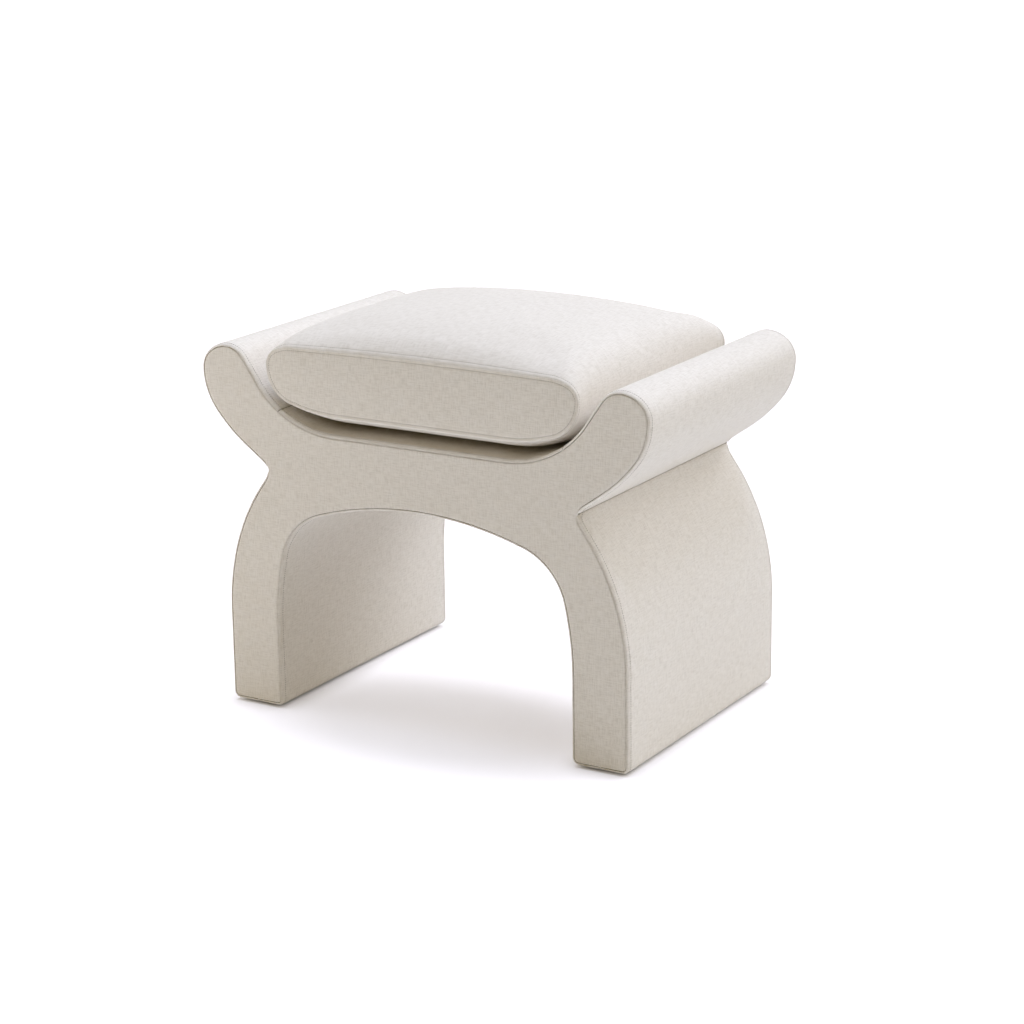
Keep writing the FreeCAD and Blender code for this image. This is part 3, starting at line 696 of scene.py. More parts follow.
STRIP_STEP = 3.2 * MM
STRIP_ENDS = (0, 0.15, 0.5, 1, 1.7, 2.6, 4, 6)  # millimetres from the end of a strip
STRIP_EASE = 6 * MM  # close columns beyond a rolled edge
STRIP_TUCK = 4  # columns of an edge that are down in the seam
# Columns of an edge that get the seam colour as painted shade down in the seam
SEAM_SHADE_COLUMNS = 3  # of those, with the seam's colour
ROLL_POINTS = 10
EASE_POINTS = 9
FLAT_STEP = 8 * MM
FLAT_ENDS = (0, 2, 5)
SEAM_REACH = 3 * MM  # how far from a cross seam the cloth turns into it
PUCKER_AT = 12 * MM  # middle of the slow waves, in from the strip's edge
PUCKER_HALF = 9 * MM
STRIP_WAVES = (1.0, 2.3)  # seeds of the waves at the front and at the rear
ROW_POINTS = 1600
TUCK_POINTS = 6
FACE_EDGE = 2.1  # lips from a strip's edge to the face's own edge
FACE_STEP = 2.5 * MM
FACE_LATTICE = 9 * MM
BACK_LATTICE = 30 * MM


def strip_section(z, seams):
    """A strip's section from the front seam over the cloth to the rear one: y, and how far it sinks.

    The edge rolls down by a quarter ellipse from roll behind the face to inset below the outline, then turns
    into the seam by a small quarter ellipse. A bell-shaped dent runs along each stitch row.
    """
    half = z.depth / 2
    flat = seams.roll + STRIP_EASE
    tuck = np.linspace(np.pi / 2, 0, STRIP_TUCK + 1)[:-1]
    turn = np.linspace(np.pi / 2, 0, ROLL_POINTS)
    beyond = np.linspace(seams.roll, flat, EASE_POINTS)[1:]
    middle = spread_out(z.depth - 2 * flat, FLAT_STEP, FLAT_ENDS)[1:-1]
    y = np.concatenate([
        -half + seams.groove * (1 - np.cos(tuck)),
        -half + seams.roll * (1 - np.sin(turn)),
        -half + beyond,
    ])
    sink = np.concatenate([
        seams.inset + seams.lip * np.sin(tuck),
        seams.inset * (1 - np.cos(turn)),
        np.zeros(len(beyond)),
    ])
    y = np.concatenate([y, y[-1] + middle, -y[::-1]])
    sink = np.concatenate([sink, np.zeros(len(middle)), sink[::-1]])
    on_cloth = np.ones(len(y))
    on_cloth[:STRIP_TUCK] = on_cloth[-STRIP_TUCK:] = 0
    return y, sink + on_cloth * seams.row_sink * bell(np.abs(y), half - seams.row_back, seams.row_half)


def build_strip(name, outline, start, end, z, seams, material):
    """A closed sweep of the strip's section along the profile from start to end.

    Vertex (u, k) is point(u) - normal(u) (sink(k) + end drop(u) - pucker), at depth y(k). An end at the waist
    drops into the fold. Two more columns close the section below the cloth.
    """
    y, sink = strip_section(z, seams)
    u = spread_out(end - start, STRIP_STEP, STRIP_ENDS)
    s = start + u
    point, normal = outline.at(s)
    drop = np.zeros(len(u))
    for distance, place in ((u, start), (u[-1] - u, end)):
        at_waist = min(abs(place - outline.waist), abs(place - outline.round + outline.waist)) < MM
        reach, deep = (seams.fold_reach, seams.fold) if at_waist else (SEAM_REACH, seams.groove)
        drop += roll_down(distance, reach, deep)
    near = bell(z.depth / 2 - np.abs(y), PUCKER_AT, PUCKER_HALF)
    front, rear = (slow_waves(s, seed)[:, None] for seed in STRIP_WAVES)
    depth = sink + drop[:, None] - seams.pucker * np.where(y < 0, front, rear) * near
    depth = np.concatenate([depth, np.full((len(u), 2), seams.pad + seams.fold)], axis=1)
    rows, columns = depth.shape
    y = np.broadcast_to(np.concatenate([y, [y[-1], y[0]]]), depth.shape)
    place = point[:, None] - normal[:, None] * depth
    # Painted shade down in the seams: the tucked columns, the hidden columns and the ends at the cross seams
    # and the waist
    seam = np.zeros(depth.shape)
    seam[:, :SEAM_SHADE_COLUMNS] = seam[:, -SEAM_SHADE_COLUMNS - 2:] = 1
    seam[:2] = seam[-2:] = 1
    vertices = np.stack([place.real, y, place.imag], axis=-1)
    faces = tube_faces(rows, columns) + end_faces(rows, columns)
    uv = np.stack([y, np.broadcast_to(s[:, None], depth.shape)], axis=-1)
    return make_piece(name, vertices, faces, material, uv, seam)


def strip_row(outline, side, z, seams):
    """Path and normals of the stitch row round the strips, near the front (-1) or the rear (1) face."""
    y, sink = (values[STRIP_TUCK:-STRIP_TUCK] for values in strip_section(z, seams))
    place = side * (z.depth / 2 - seams.row_back)
    depth = np.interp(place, y, sink)
    lean = np.interp(place, y, np.gradient(sink, y))
    s = np.linspace(0, outline.round, ROW_POINTS)
    point, normal = outline.at(s)
    point = point - normal * depth
    points = np.stack([point.real, np.full(len(s), place), point.imag], axis=1)
    normals = np.stack([normal.real, np.full(len(s), lean), normal.imag], axis=1)
    return points, normals


def build_face(name, outline, side, z, seams, material):
    """A face panel: rings drawn in from the outline, up out of the seam by a quarter ellipse, then a flat.

    Vertex (ring, s) is point(s) - normal(s) inset(ring), at y = side (half depth - dip(ring)). The flat
    stands a little proud of the edge, and a coarser sheet closes the panel behind.
    """
    half = z.depth / 2
    tuck = np.linspace(np.pi / 2, 0, TUCK_POINTS)
    edge = seams.inset + FACE_EDGE * seams.lip
    beyond = np.array([1.2, 2.6, 3.8]) * MM
    proud = np.array([0.2, 0.35, 0.35]) * MM
    dip = np.concatenate([[seams.pad], seams.groove * (1 - np.cos(tuck)), -proud])
    inset = np.concatenate([edge - seams.lip * np.sin(tuck), edge + beyond])
    inset = np.concatenate([inset[:1], inset])
    s = np.linspace(0, outline.round, int(outline.round / FACE_STEP), endpoint=False)
    point, normal = outline.at(s)
    place = point - normal * inset[:, None]
    rows, columns = place.shape
    lattice, triangles = filled(place[-1], FACE_LATTICE, NO_HOLE)
    flat = np.concatenate([place.ravel(), lattice])
    depth = np.concatenate([np.repeat(dip, columns), np.full(len(lattice), dip[-1])])
    vertices = np.stack([flat.real, side * (half - depth), flat.imag], axis=-1)
    faces = tube_faces(rows, columns)
    if side > 0:
        faces = [face[::-1] for face in faces]
    front = triangles + (rows - 1) * columns
    back, spare = filled(place[0], BACK_LATTICE, NO_HOLE)
    hidden = np.where(spare < columns, spare, spare - columns + len(vertices))
    behind = np.stack([back.real, np.full(len(back), side * (half - dip[0])), back.imag], axis=-1)
    vertices = np.concatenate([vertices, behind])
    faces += (front if side < 0 else front[:, ::-1]).tolist()
    faces += (hidden[:, ::-1] if side < 0 else hidden).tolist()
    uv = np.stack([vertices[:, 0], vertices[:, 2]], axis=-1)
    # Painted shade down in the seam: the hidden ring and the first ring of the groove
    seam = np.arange(len(vertices)) < 2 * columns
    return make_piece(name, vertices, faces, material, uv, seam)


# Cushion

RING_POINTS = 161  # of half a section
SIM_POINTS = 61
SIM_FRAMES = 20
SMOOTHING = 6  # passes over the simulated moves
HELD_BAND = 30 * MM  # lower edge that the simulation holds
WRAP_STEP = 5 * MM
WRAP_ENDS = (0, 0.1, 0.3, 0.6, 1, 1.5, 2, 2.6, 3.1, 3.5, 3.9, 4.2, 4.6, 5, 5.5, 6.3, 7.5, 9.5, 12.5, 16.5)
WRAP_ROLL = 2.4 * MM  # how far from its seam the wrap turns in
WRAP_PUCKER_AT = 13 * MM
WRAP_PUCKER = 1.3  # against the strips' pucker
WRAP_WAVES = (3.1, 4.7)
WRAP_DENT = 0.5  # against the other rows' sink
WRAP_PAD = 0.6  # against the strips' pad
PUCKER_DOWN = 0.6  # downward slope at which the pucker has faded out
WRAP_TUCK = 5 * MM  # how far behind its seam the wrap's inner edge lies
PANEL_LATTICE = 5 * MM
PANEL_BACK_LATTICE = 20 * MM
PANEL_EDGE = 0.4  # lips from the seam to the panel's own edge
PANEL_RIM = (0.7, 8.5)  # millimetres from there to the first and the last flat ring
PANEL_RINGS = 14
DENT_FROM = 2.2 * MM  # inside an end panel's seam


def cushion_section(z, c, over, under, smaller, count):
    """Right half of the cushion's outline at one station, from the middle of the underside to the crown.

    over and under, the swell of its top and its underside, are 0 at an end panel's seam and 1 in the middle.
    smaller draws the rounded end and top in.
    """
    seat = z.waist_height + z.seat_rise

    def between(seam, middle, swell):
        return seat + seam + (middle - seam) * swell

    half = z.width / 2 - c.side_in
    end = half - c.seam_pull * (1 - over) - smaller
    bottom = between(c.seam_bottom_rise, c.rest, under)
    crown = between(c.seam_top_rise, c.crown_rise, over) - smaller
    shoulder = between(c.seam_top_rise - c.seam_corner_drop, c.crown_rise - c.top_corner_drop, over) - smaller
    corner = complex(half - c.top_corner_in, shoulder)
    lean = 2 * math.atan2(crown - shoulder, corner.real)
    flat_end, widest = complex(c.flat / 2, bottom), complex(end, seat + c.widest_rise)
    points = np.concatenate([
        np.array([complex(0, bottom), flat_end]),
        biarc(flat_end, 1, widest, 1j),
        biarc(widest, 1j, corner, -np.exp(-1j * lean)),
        arc(complex(0, crown), 1, corner)[::-1],
    ])
    run = run_along(points)
    return np.interp(np.linspace(0, run[-1], count), run, points)


def cushion_ring(z, c, over, under, smaller, count):
    """The closed section, from the middle of the underside round the right end, over the top and back."""
    right = cushion_section(z, c, over, under, smaller, count)
    return np.concatenate([right, -np.conj(right)[-2:0:-1]])


def cushion_depth(z, c):
    """Front and rear of the cushion's wrap."""
    return -z.depth / 2 + c.front_gap, z.depth / 2 - c.rear_gap


def wrap_grid(z, c, station, smaller, count):
    """Sections at stations from -1, the front seam, to 1, the rear one.

    The top's swell is 0 at the seams and 1 in the middle: a parabola 1 - (1 - t)^2 as long as the edge roll,
    and a dome 1 - |station| ^ crown power. The underside's is a flatter dome alone.
    """
    front, rear = cushion_depth(z, c)
    t = np.clip((1 - np.abs(station)) * (rear - front) / 2 / c.edge_roll, 0, 1)
    over = c.edge_share * (1 - (1 - t) ** 2) + (1 - c.edge_share) * (1 - np.abs(station) ** c.crown_power)
    under = 1 - np.abs(station) ** c.under_power
    rings = np.array([cushion_ring(z, c, up, down, smaller * up, count) for up, down in zip(over, under)])
    y = (front + rear) / 2 + station * (rear - front) / 2
    return np.stack([rings.real, np.broadcast_to(y[:, None], rings.shape), rings.imag], axis=-1)


def swollen(z, c):
    """Cloth simulation of the filled cushion, from a slightly smaller closed form held along its seams.

    The end panels close the form and are held too, as is its lower edge. Returns the stations, and the
    moves of a grid of stations x ring, limited in length and smoothed both ways.
    """
    stations = np.linspace(-1, 1, SIM_POINTS)
    grid = wrap_grid(z, c, stations, c.slack, SIM_POINTS)
    rows, columns = grid.shape[:2]
    vertices = grid.reshape(-1, 3)
    mesh = bpy.data.meshes.new("cushion_sim")
    mesh.from_pydata(vertices.tolist(), [], tube_faces(rows, columns) + end_faces(rows, columns))
    sim = bpy.data.objects.new("cushion_sim", mesh)
    scene = bpy.context.scene
    scene.collection.objects.link(sim)
    held = sim.vertex_groups.new(name="held")
    under = np.nonzero(vertices[:, 2] < vertices[:, 2].min() + HELD_BAND)[0]
    sewn = np.concatenate(end_faces(rows, columns))
    held.add(np.union1d(under, sewn).tolist(), 1.0, "REPLACE")
    cloth = sim.modifiers.new("filling", "CLOTH")
    cloth.settings.quality = 6
    cloth.settings.mass = 0.25
    cloth.settings.tension_stiffness = cloth.settings.compression_stiffness = 12
    cloth.settings.shear_stiffness = 6
    cloth.settings.bending_stiffness = 1.0
    cloth.settings.use_pressure = True
    cloth.settings.uniform_pressure_force = c.pressure
    cloth.settings.vertex_group_mass = "held"
    cloth.settings.effector_weights.gravity = 0
    cloth.collision_settings.use_collision = False
    for frame_number in range(1, SIM_FRAMES + 1):
        scene.frame_set(frame_number)
    settled = sim.evaluated_get(bpy.context.evaluated_depsgraph_get()).to_mesh()
    moved = np.zeros(len(vertices) * 3, np.float32)
    settled.vertices.foreach_get("co", moved)
    scene.frame_set(1)
    bpy.data.objects.remove(sim)
    move = moved.reshape(-1, 3) - vertices
    size = np.linalg.norm(move, axis=1, keepdims=True)
    move *= np.minimum(1, c.swell_limit / np.maximum(size, TINY))
    move = move.reshape(rows, columns, 3)
    for _ in range(SMOOTHING):
        move = (np.roll(move, 1, axis=1) + 2 * move + np.roll(move, -1, axis=1)) / 4
        move[1:-1] = (move[:-2] + 2 * move[1:-1] + move[2:]) / 4
    return stations, move


def carried_over(moves, along, columns):
    """The coarse moves at other stations and another count round the ring, read linearly."""
    known, values = moves
    coarse = values.shape[1]
    turn = np.arange(columns) / columns * coarse
    low = np.floor(turn).astype(int)
    part = (turn - low)[None, :, None]
    ringed = values[:, low % coarse] * (1 - part) + values[:, (low + 1) % coarse] * part
    place = np.interp(along, known, np.arange(len(known)))
    below = np.minimum(np.floor(place).astype(int), len(known) - 2)
    part = (place - below)[:, None, None]
    return ringed[below] * (1 - part) + ringed[below + 1] * part


def panel_bulge(ring, points, rise):
    """How far the filling pushes an end panel out: rise (1 - away^2).

    away is the distance from the panel's level middle line, which stops short of its rounded ends, as a
    share of the way to its seam.
    """
    level, half = (ring.imag.max() + ring.imag.min()) / 2, (ring.imag.max() - ring.imag.min()) / 2
    reach = ring.real.max() - half
    nearest = np.clip(points.real, -reach, reach) + 1j * level
    return rise * np.clip(1 - (np.abs(points - nearest) / half) ** 2, 0, 1)


def surface_normals(grid):
    """Outward normals of a grid of stations x ring: the cross product of its two steps."""
    along_ring = np.roll(grid, -1, axis=1) - np.roll(grid, 1, axis=1)
    return unit(np.cross(np.gradient(grid, axis=0), along_ring))


def build_wrap(z, c, seams, moves, material):
    """The cushion's wrap with its simulated swell, rolled into the end seams and dented by its stitches.

    Vertex (station, ring) is the section's point, plus its move, less normal x (roll + dent - pucker). The
    pucker fades out towards the underside. Returns the piece, its grid and the distances from the front seam.
    """
    front, rear = cushion_depth(z, c)
    distance = spread_out(rear - front, WRAP_STEP, WRAP_ENDS)
    station = 2 * distance / (rear - front) - 1
    grid = wrap_grid(z, c, station, c.slack if moves else 0, RING_POINTS)
    rows, columns = grid.shape[:2]
    if moves:
        grid = grid + carried_over(moves, station, columns)
    normal = surface_normals(grid)
    from_seam = np.minimum(distance, distance[-1] - distance)
    sink = roll_down(from_seam, WRAP_ROLL, c.groove)
    sink += WRAP_DENT * seams.row_sink * bell(from_seam, seams.wrap_row, seams.row_half)
    run = run_along(grid[rows // 2])
    near = bell(from_seam, WRAP_PUCKER_AT, PUCKER_HALF)
    waves = np.where(distance[:, None] < distance[-1] / 2, *(slow_waves(run, seed) for seed in WRAP_WAVES))
    top = np.clip(normal[..., 2] + PUCKER_DOWN, 0, 1)
    depth = sink[:, None] - seams.pucker * WRAP_PUCKER * waves * near[:, None] * top
    grid = grid - normal * depth[..., None]
    inside = grid[[0, -1]] - normal[[0, -1]] * seams.pad * WRAP_PAD
    inside[..., 1] = [[front + WRAP_TUCK], [rear - WRAP_TUCK]]
    vertices = np.concatenate([inside[:1], grid, inside[1:]])
    faces = tube_faces(rows + 2, columns) + end_faces(rows + 2, columns)
    along = np.concatenate([distance[:1], distance, distance[-1:]])
    uv = np.stack(np.broadcast_arrays(along[:, None], run), axis=-1)
    # Painted shade down in the end seams: the wrap's first and last three rows
    seam = np.zeros(vertices.shape[:2])
    seam[:3] = seam[-3:] = c.painted_seam_shade
    return make_piece("cushion_cloth_wrap", vertices, faces, material, uv, seam), grid, distance


def build_end_panel(name, z, c, seams, side, hole, material):
    """An end panel: rings drawn in from its seam along their normals, then a filled middle.

    The rim comes up out of the seam by a quarter ellipse and is dented along its stitch row. The rear panel
    has the zip's slot as a hole. Returns the piece and the path of its stitch row.
    """
    front, rear = cushion_depth(z, c)
    plane, bulge = (front, c.front_bulge) if side < 0 else (rear, c.rear_bulge)
    ring = cushion_ring(z, c, 0.0, 0.0, 0.0, RING_POINTS)
    columns = len(ring)
    heading = np.roll(ring, -1) - np.roll(ring, 1)
    outward = -1j * heading / np.abs(heading)
    tuck = np.linspace(np.pi / 2, 0, TUCK_POINTS)
    edge = seams.lip * PANEL_EDGE
    inset = np.concatenate([edge + seams.lip * (1 - np.sin(tuck)),
                            edge + seams.lip + np.linspace(*PANEL_RIM, PANEL_RINGS) * MM])
    dent = seams.row_sink * bell(inset, seams.row_in, seams.row_half)
    dip = np.concatenate([c.groove * (1 - np.cos(tuck)), np.zeros(PANEL_RINGS)])
    dip += np.where(inset > DENT_FROM, dent, 0)
    drawn = ring - outward * inset[:, None]
    rows = len(drawn)
    lattice, triangles = filled(drawn[-1], PANEL_LATTICE, hole)
    back, spare = filled(drawn[0], PANEL_BACK_LATTICE, hole)
    flat = np.concatenate([drawn.ravel(), hole, lattice])
    dip = np.concatenate([np.repeat(dip, columns), np.zeros(len(hole) + len(lattice))])
    vertices = np.stack([flat.real, plane - side * dip, flat.imag], axis=-1)
    vertices[:, 1] += side * panel_bulge(ring, flat, bulge)
    behind = np.concatenate([drawn[0], hole, back])
    depth = plane - side * np.where(np.arange(len(behind)) < columns, c.groove + MM, c.panel_cloth)
    first = len(vertices)
    vertices = np.concatenate([vertices, np.stack([behind.real, depth, behind.imag], axis=-1)])
    around = np.arange(columns)
    after = np.roll(around, -1)
    rim = np.stack([first + around, around, after, first + after], axis=-1)
    faces = np.concatenate([tube_faces(rows, columns), rim])
    faces = (faces[:, ::-1] if side < 0 else faces).tolist()
    inner = rows * columns + np.arange(len(hole))
    beside = np.roll(inner, -1)
    deep = first + columns - rows * columns
    faces += np.stack([inner, inner + deep, beside + deep, beside], axis=-1).tolist()
    seen = triangles + (rows - 1) * columns
    faces += (seen if side < 0 else seen[:, ::-1]).tolist()
    faces += (spare[:, ::-1] + first if side < 0 else spare + first).tolist()
    uv = np.stack([vertices[:, 0], vertices[:, 2]], axis=-1)
    # Painted shade down in the seam: the panel's first three rings
    seam = np.where(np.arange(len(vertices)) < 3 * columns, c.painted_seam_shade, 0)
    row = np.argmin(np.abs(inset - seams.row_in))
    path = vertices[row * columns:(row + 1) * columns]
    return make_piece(name, vertices, faces, material, uv, seam), np.concatenate([path, path[:1]])


# Zip

WIRE_SIDES = 5
TURN_POINTS = 12
SLOT_POINTS = 120
SLOT_END_POINTS = 9


def zip_slot(zipper):
    """The slot round the zip's coil: two level sides and half-round ends, counter-clockwise."""
    radius, half = zipper.slot / 2, zipper.length / 2 + zipper.end_room - zipper.slot / 2
    right = radius * np.exp(1j * np.linspace(-np.pi / 2, np.pi / 2, SLOT_END_POINTS))
    side = np.linspace(-half, half, SLOT_POINTS)[1:-1]
    ring = np.concatenate([side - 1j * radius, half + right, side[::-1] + 1j * radius, -half - right])
    return ring + 1j * zipper.level


def build_coil(name, zipper, material):
    """The nylon coil: a round wire along a flat helix, x = pitch t / 2 pi, y and z an ellipse in t.

    Each ring of the wire stands across the helix's tangent t, on the directions t x X and t x (t x X).
    """
    turns = int(zipper.length / zipper.pitch)
    t = np.linspace(0, 2 * np.pi * turns, TURN_POINTS * turns + 1)
    high, thick = zipper.coil_width / 2 - zipper.wire, zipper.coil_height / 2 - zipper.wire
    path = np.stack([(t / t[-1] - 0.5) * (zipper.length - 2 * zipper.wire),
                     zipper.tape_rear + zipper.coil_height / 2 + thick * np.cos(t),
                     zipper.level + high * np.sin(t)], axis=1)
    tangent = unit(np.gradient(path, axis=0))
    across = unit(np.cross(tangent, [1.0, 0, 0]))
    third = np.cross(tangent, across)
    turn = np.arange(WIRE_SIDES) * 2 * np.pi / WIRE_SIDES
    rings = path[:, None] + zipper.wire * (across[:, None] * np.cos(turn)[:, None]
                                           + third[:, None] * np.sin(turn)[:, None])
    faces = tube_faces(len(path), WIRE_SIDES) + end_faces(len(path), WIRE_SIDES)
    return make_piece(name, rings, [face[::-1] for face in faces], material)


# Stage

def floor_material(look):
    """White floor that shows a shadow near the stool and is plain white to the camera further away.

    The plain white's share is the product of a smooth rise, from floor lift inside the shadow's ellipse to 1
    at its edge, and of how open the floor is beside the feet.
    """
    material, tree, shader = new_material("white_floor", Roughness=0.9, Specular_IOR_Level=0.0)
    place = add(tree, "ShaderNodeTexCoord").outputs["Object"]
    mottling = 0.01
    paler = [min(c + mottling, 1) for c in look.floor]
    painted(tree, shader, noise(tree, place, 3.0), look.floor, paler)
    white = add(tree, "ShaderNodeEmission", Color=(*look.floor_white, 1), Strength=look.floor_glow)
    away = add(tree, "ShaderNodeMapping", {"vector_type": "TEXTURE"}, Vector=place, Location=look.shadow_at,
               Scale=look.shadow_reach)
    far = add(tree, "ShaderNodeVectorMath", {"operation": "LENGTH"}, i0=away.outputs[0])
    fade = add(tree, "ShaderNodeMapRange", {"interpolation_type": "SMOOTHSTEP"}, Value=far.outputs["Value"],
               From_Min=look.shadow_core, From_Max=1.0, To_Min=look.floor_lift, To_Max=1.0)
    open_floor = add(tree, "ShaderNodeAmbientOcclusion", {"samples": 8}, Distance=look.contact)
    ray = add(tree, "ShaderNodeLightPath")
    lift = calc(tree, "MULTIPLY", ray.outputs["Is Camera Ray"], fade.outputs[0])
    lift = calc(tree, "MULTIPLY", lift, open_floor.outputs["AO"])
    lifted = add(tree, "ShaderNodeMixShader", i0=lift, i1=shader.outputs[0], i2=white.outputs[0])
    tree.links.new(lifted.outputs[0], tree.nodes["Material Output"].inputs["Surface"])
    return material


def even_light(look):
    """A world that lights evenly with the sky's colour and is white to the camera and in reflections."""
    world = bpy.data.worlds.new("even_light")
    world.use_nodes = True
    tree = world.node_tree
    lit = tree.nodes["Background"]
    lit.inputs["Color"].default_value = (*look.sky_colour, 1)
    lit.inputs["Strength"].default_value = look.sky
    seen = add(tree, "ShaderNodeBackground", Color=(1, 1, 1, 1), Strength=1.0)
    ray = add(tree, "ShaderNodeLightPath")
    direct = calc(tree, "MAXIMUM", ray.outputs["Is Camera Ray"], ray.outputs["Is Glossy Ray"])
    direct = calc(tree, "MAXIMUM", direct, ray.outputs["Is Transmission Ray"])
    both = add(tree, "ShaderNodeMixShader", i0=direct, i1=lit.outputs[0], i2=seen.outputs[0])
    tree.links.new(both.outputs[0], tree.nodes["World Output"].inputs["Surface"])
    return world


def hang_lamp(name, kind, source, strength, tint):
    """A lamp turned so that it shines from the direction of source."""
    lamp = bpy.data.lights.new(name, kind)
    lamp.energy = strength
    lamp.color = tint
    holder = bpy.data.objects.new(name, lamp)
    holder.rotation_euler = Vector(source).to_track_quat("Z", "Y").to_euler()
    bpy.context.scene.collection.objects.link(holder)
    return holder


def place_camera(look):
    """The camera, distance back from its aim along the azimuth and the elevation, rolled about its view."""
    a, e = look.azimuth, look.elevation
    back = Vector((math.sin(a) * math.cos(e), -math.cos(a) * math.cos(e), math.sin(e)))
    right = (-back).cross(Vector((0, 0, 1))).normalized()
    up = right.cross(-back)
    turn = Matrix.Rotation(look.roll, 3, back)
    right, up = turn @ right, turn @ up
    lens = bpy.data.cameras.new("camera")
    lens.sensor_width = 36.0
    lens.lens = look.focal * lens.sensor_width
    lens.shift_x, lens.shift_y = look.shift_x, look.shift_y
    camera = bpy.data.objects.new("camera", lens)
    camera.rotation_euler = Matrix((right, up, back)).transposed().to_euler()
    camera.location = Vector((0, 0, look.aim_height)) + back * look.distance
    bpy.context.scene.collection.objects.link(camera)
    return camera


# Operators

class FOOTSTOOL_OT_strips(bpy.types.Operator):
    """Cloth strips round the profile, with the stitch row beside each face"""
    bl_idname = "footstool.strips"
    bl_label = "Strips"

    def execute(self, context):
        z, seams, look = context.scene.stool_sizes, context.scene.seam_sizes, context.scene.cloth_look
        outline = Outline(z)
        linen = kept("ivory_linen", linen_material, look)
        thread = kept("stitch_thread", thread_material, look)
        cross, waist, foot, whole = outline.cross, outline.waist, outline.foot, outline.round
        strips = {
            "seat_strip": (-cross, cross, "seat_cover", "seat_foam"),
            "arm_strip_right": (cross, waist, "arm_cover_right", "arm_foam_right"),
            "leg_strip_right": (waist, foot, "leg_cover_right", "leg_foam_right"),
            "arch_strip": (foot, whole - foot, "arch_cover", "arch_foam"),
            "leg_strip_left": (whole - foot, whole - waist, "leg_cover_left", "leg_foam_left"),
            "arm_strip_left": (whole - waist, whole - cross, "arm_cover_left", "arm_foam_left"),
        }
        for name, (start, end, *nodes) in strips.items():
            strip = build_strip(name, outline, start, end, z, seams, linen)
            dress(strip, "stool", nodes)
        for side, place in SIDES:
            row = stitch_row(f"strip_stitches_{place}", *strip_row(outline, side, z, seams), seams, thread)
            dress(row, "stool")
        return {"FINISHED"}


class FOOTSTOOL_OT_faces(bpy.types.Operator):
    """Front and rear face panels"""
    bl_idname = "footstool.faces"
    bl_label = "Faces"

    def execute(self, context):
        z, seams, look = context.scene.stool_sizes, context.scene.seam_sizes, context.scene.cloth_look
        outline = Outline(z)
        linen = kept("ivory_linen", linen_material, look)
        for side, place in SIDES:
            face = build_face(f"{place}_face", outline, side, z, seams, linen)
            dress(face, "stool", [f"{place}_panel_cover", f"{place}_face_foam"])
        return {"FINISHED"}


class FOOTSTOOL_OT_cushion(bpy.types.Operator):
    """Loose cushion with its filling, end panels and stitch rows"""
    bl_idname = "footstool.cushion"
    bl_label = "Cushion"

    def execute(self, context):
        scene = context.scene
        z, c, seams, look = scene.stool_sizes, scene.cushion_sizes, scene.seam_sizes, scene.cloth_look
        linen = kept("ivory_linen", linen_material, look)
        thread = kept("stitch_thread", thread_material, look)
        moves = swollen(z, c)
        wrap, grid, distance = build_wrap(z, c, seams, moves, linen)
        dress(wrap, "cushion", ["cushion_wrap", "cushion_core"])
        normal = surface_normals(grid)
        for side, place in SIDES:
            hole = NO_HOLE if side < 0 else zip_slot(scene.zip_sizes)
            panel, path = build_end_panel(f"cushion_{place}_end", z, c, seams, side, hole, linen)
            dress(panel, "cushion", [f"cushion_{place}_panel"])
            facing = np.broadcast_to(np.array([0, side, 0], float), path.shape)
            row = stitch_row(f"cushion_{place}_end_stitches", path, facing, seams, thread)
            dress(row, "cushion")
            from_seam = distance if side < 0 else distance[-1] - distance
            station = np.argmin(np.abs(from_seam - seams.wrap_row))
            path = np.concatenate([grid[station], grid[station, :1]])
            facing = np.concatenate([normal[station], normal[station, :1]])
            row = stitch_row(f"cushion_wrap_{place}_stitches", path, facing, seams, thread)
            dress(row, "cushion")
        return {"FINISHED"}


class FOOTSTOOL_OT_zip(bpy.types.Operator):
    """Coil of the cushion's zip"""
    bl_idname = "footstool.zip"
    bl_label = "Zip"

    def execute(self, context):
        nylon = kept("white_nylon", grained_material, "white_nylon")
        coil = build_coil("zip_coil_wire", context.scene.zip_sizes, nylon)
        dress(coil, "cushion", ["zip_coil"])
        return {"FINISHED"}


class FOOTSTOOL_OT_frame_finishes(bpy.types.Operator):
    """Finishes of the wooden frame, feet and zip that show as they are"""
    bl_idname = "footstool.frame_finishes"
    bl_label = "Frame finishes"

    def execute(self, context):
        built = {name: kept(name, grained_material, name) for name in GRAINS}
        built["birch_plywood"] = plywood_material()
        built["zip_tape_twill"] = zip_tape_material()
        for name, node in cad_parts.items():
            if node.hide_render:
                continue
            finish = built[next(material for part, material in FINISHES if part in name)]
            if not node.material_slots:
                node.data.materials.append(finish)
            for slot in node.material_slots:
                slot.material = finish
        return {"FINISHED"}


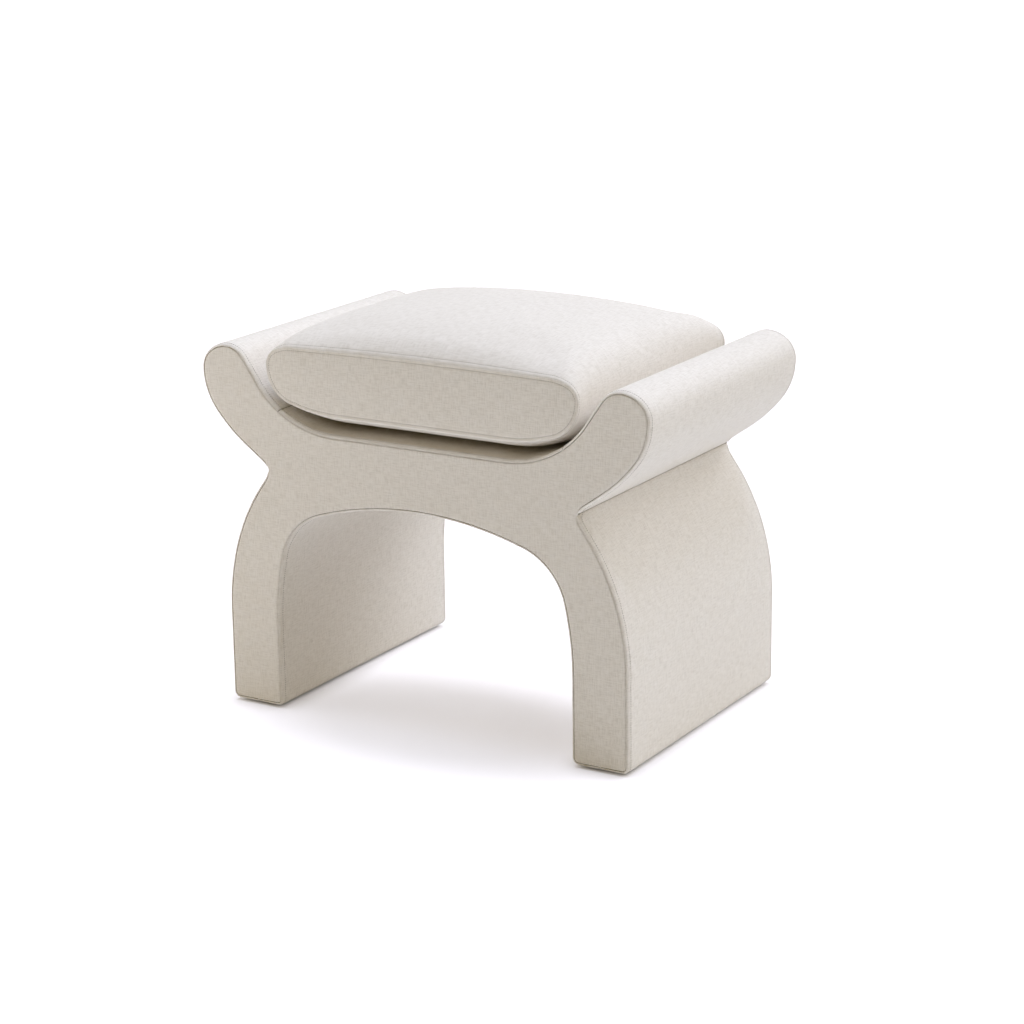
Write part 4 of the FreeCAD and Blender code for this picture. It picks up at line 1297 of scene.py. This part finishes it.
class FOOTSTOOL_OT_stage(bpy.types.Operator):
    """White floor, key and top lights, even light, low fill light on the left, and camera"""
    bl_idname = "footstool.stage"
    bl_label = "Stage"

    def execute(self, context):
        scene, look = context.scene, context.scene.stage_look
        scene.view_settings.view_transform = "Standard"
        corners = np.array([[-1, -1, 0], [1, -1, 0], [1, 1, 0], [-1, 1, 0]]) * look.floor_reach
        floor = make_piece("floor", corners, [[0, 1, 2, 3]], floor_material(look))
        scene.world = even_light(look)
        key = hang_lamp("key", "SUN", look.sun_from, look.sun, look.sun_colour)
        top = hang_lamp("top", "SUN", look.top_from, look.top, look.top_colour)
        key.data.angle = top.data.angle = look.sun_spread
        place = Vector(look.fill_at)
        fill = hang_lamp("fill", "AREA", place - Vector(look.fill_towards), look.fill, look.fill_colour)
        fill.location = place
        fill.data.shape = "DISK"
        fill.data.size = look.fill_size
        fill.visible_camera = False
        scene.camera = place_camera(look)
        return {"FINISHED"}


class FOOTSTOOL_PT_sidebar(bpy.types.Panel):
    """Sizes, looks and builders of the footstool"""
    bl_idname = "FOOTSTOOL_PT_sidebar"
    bl_label = "Footstool"
    bl_space_type = "VIEW_3D"
    bl_region_type = "UI"
    bl_category = "Footstool"

    def draw(self, context):
        for operator in OPERATORS:
            self.layout.operator(operator.bl_idname)
        for attribute, group in GROUPS.items():
            box = self.layout.box()
            box.label(text=group.__doc__)
            for name in group.__annotations__:
                box.prop(getattr(context.scene, attribute), name)


GROUPS = {
    "stool_sizes": StoolSizes,
    "cushion_sizes": CushionSizes,
    "zip_sizes": ZipSizes,
    "seam_sizes": SeamSizes,
    "cloth_look": ClothLook,
    "stage_look": StageLook,
}
OPERATORS = (FOOTSTOOL_OT_strips, FOOTSTOOL_OT_faces, FOOTSTOOL_OT_cushion, FOOTSTOOL_OT_zip,
             FOOTSTOOL_OT_frame_finishes, FOOTSTOOL_OT_stage)
CLASSES = (*GROUPS.values(), *OPERATORS, FOOTSTOOL_PT_sidebar)


def register():
    for cls in CLASSES:
        bpy.utils.register_class(cls)
    for attribute, group in GROUPS.items():
        setattr(bpy.types.Scene, attribute, PointerProperty(type=group))


def unregister():
    for attribute in GROUPS:
        delattr(bpy.types.Scene, attribute)
    for cls in reversed(CLASSES):
        bpy.utils.unregister_class(cls)


def main():
    register()
    bpy.ops.footstool.strips()
    bpy.ops.footstool.faces()
    bpy.ops.footstool.cushion()
    bpy.ops.footstool.zip()
    bpy.ops.footstool.frame_finishes()
    bpy.ops.footstool.stage()


if __name__ == "__main__":
    main()
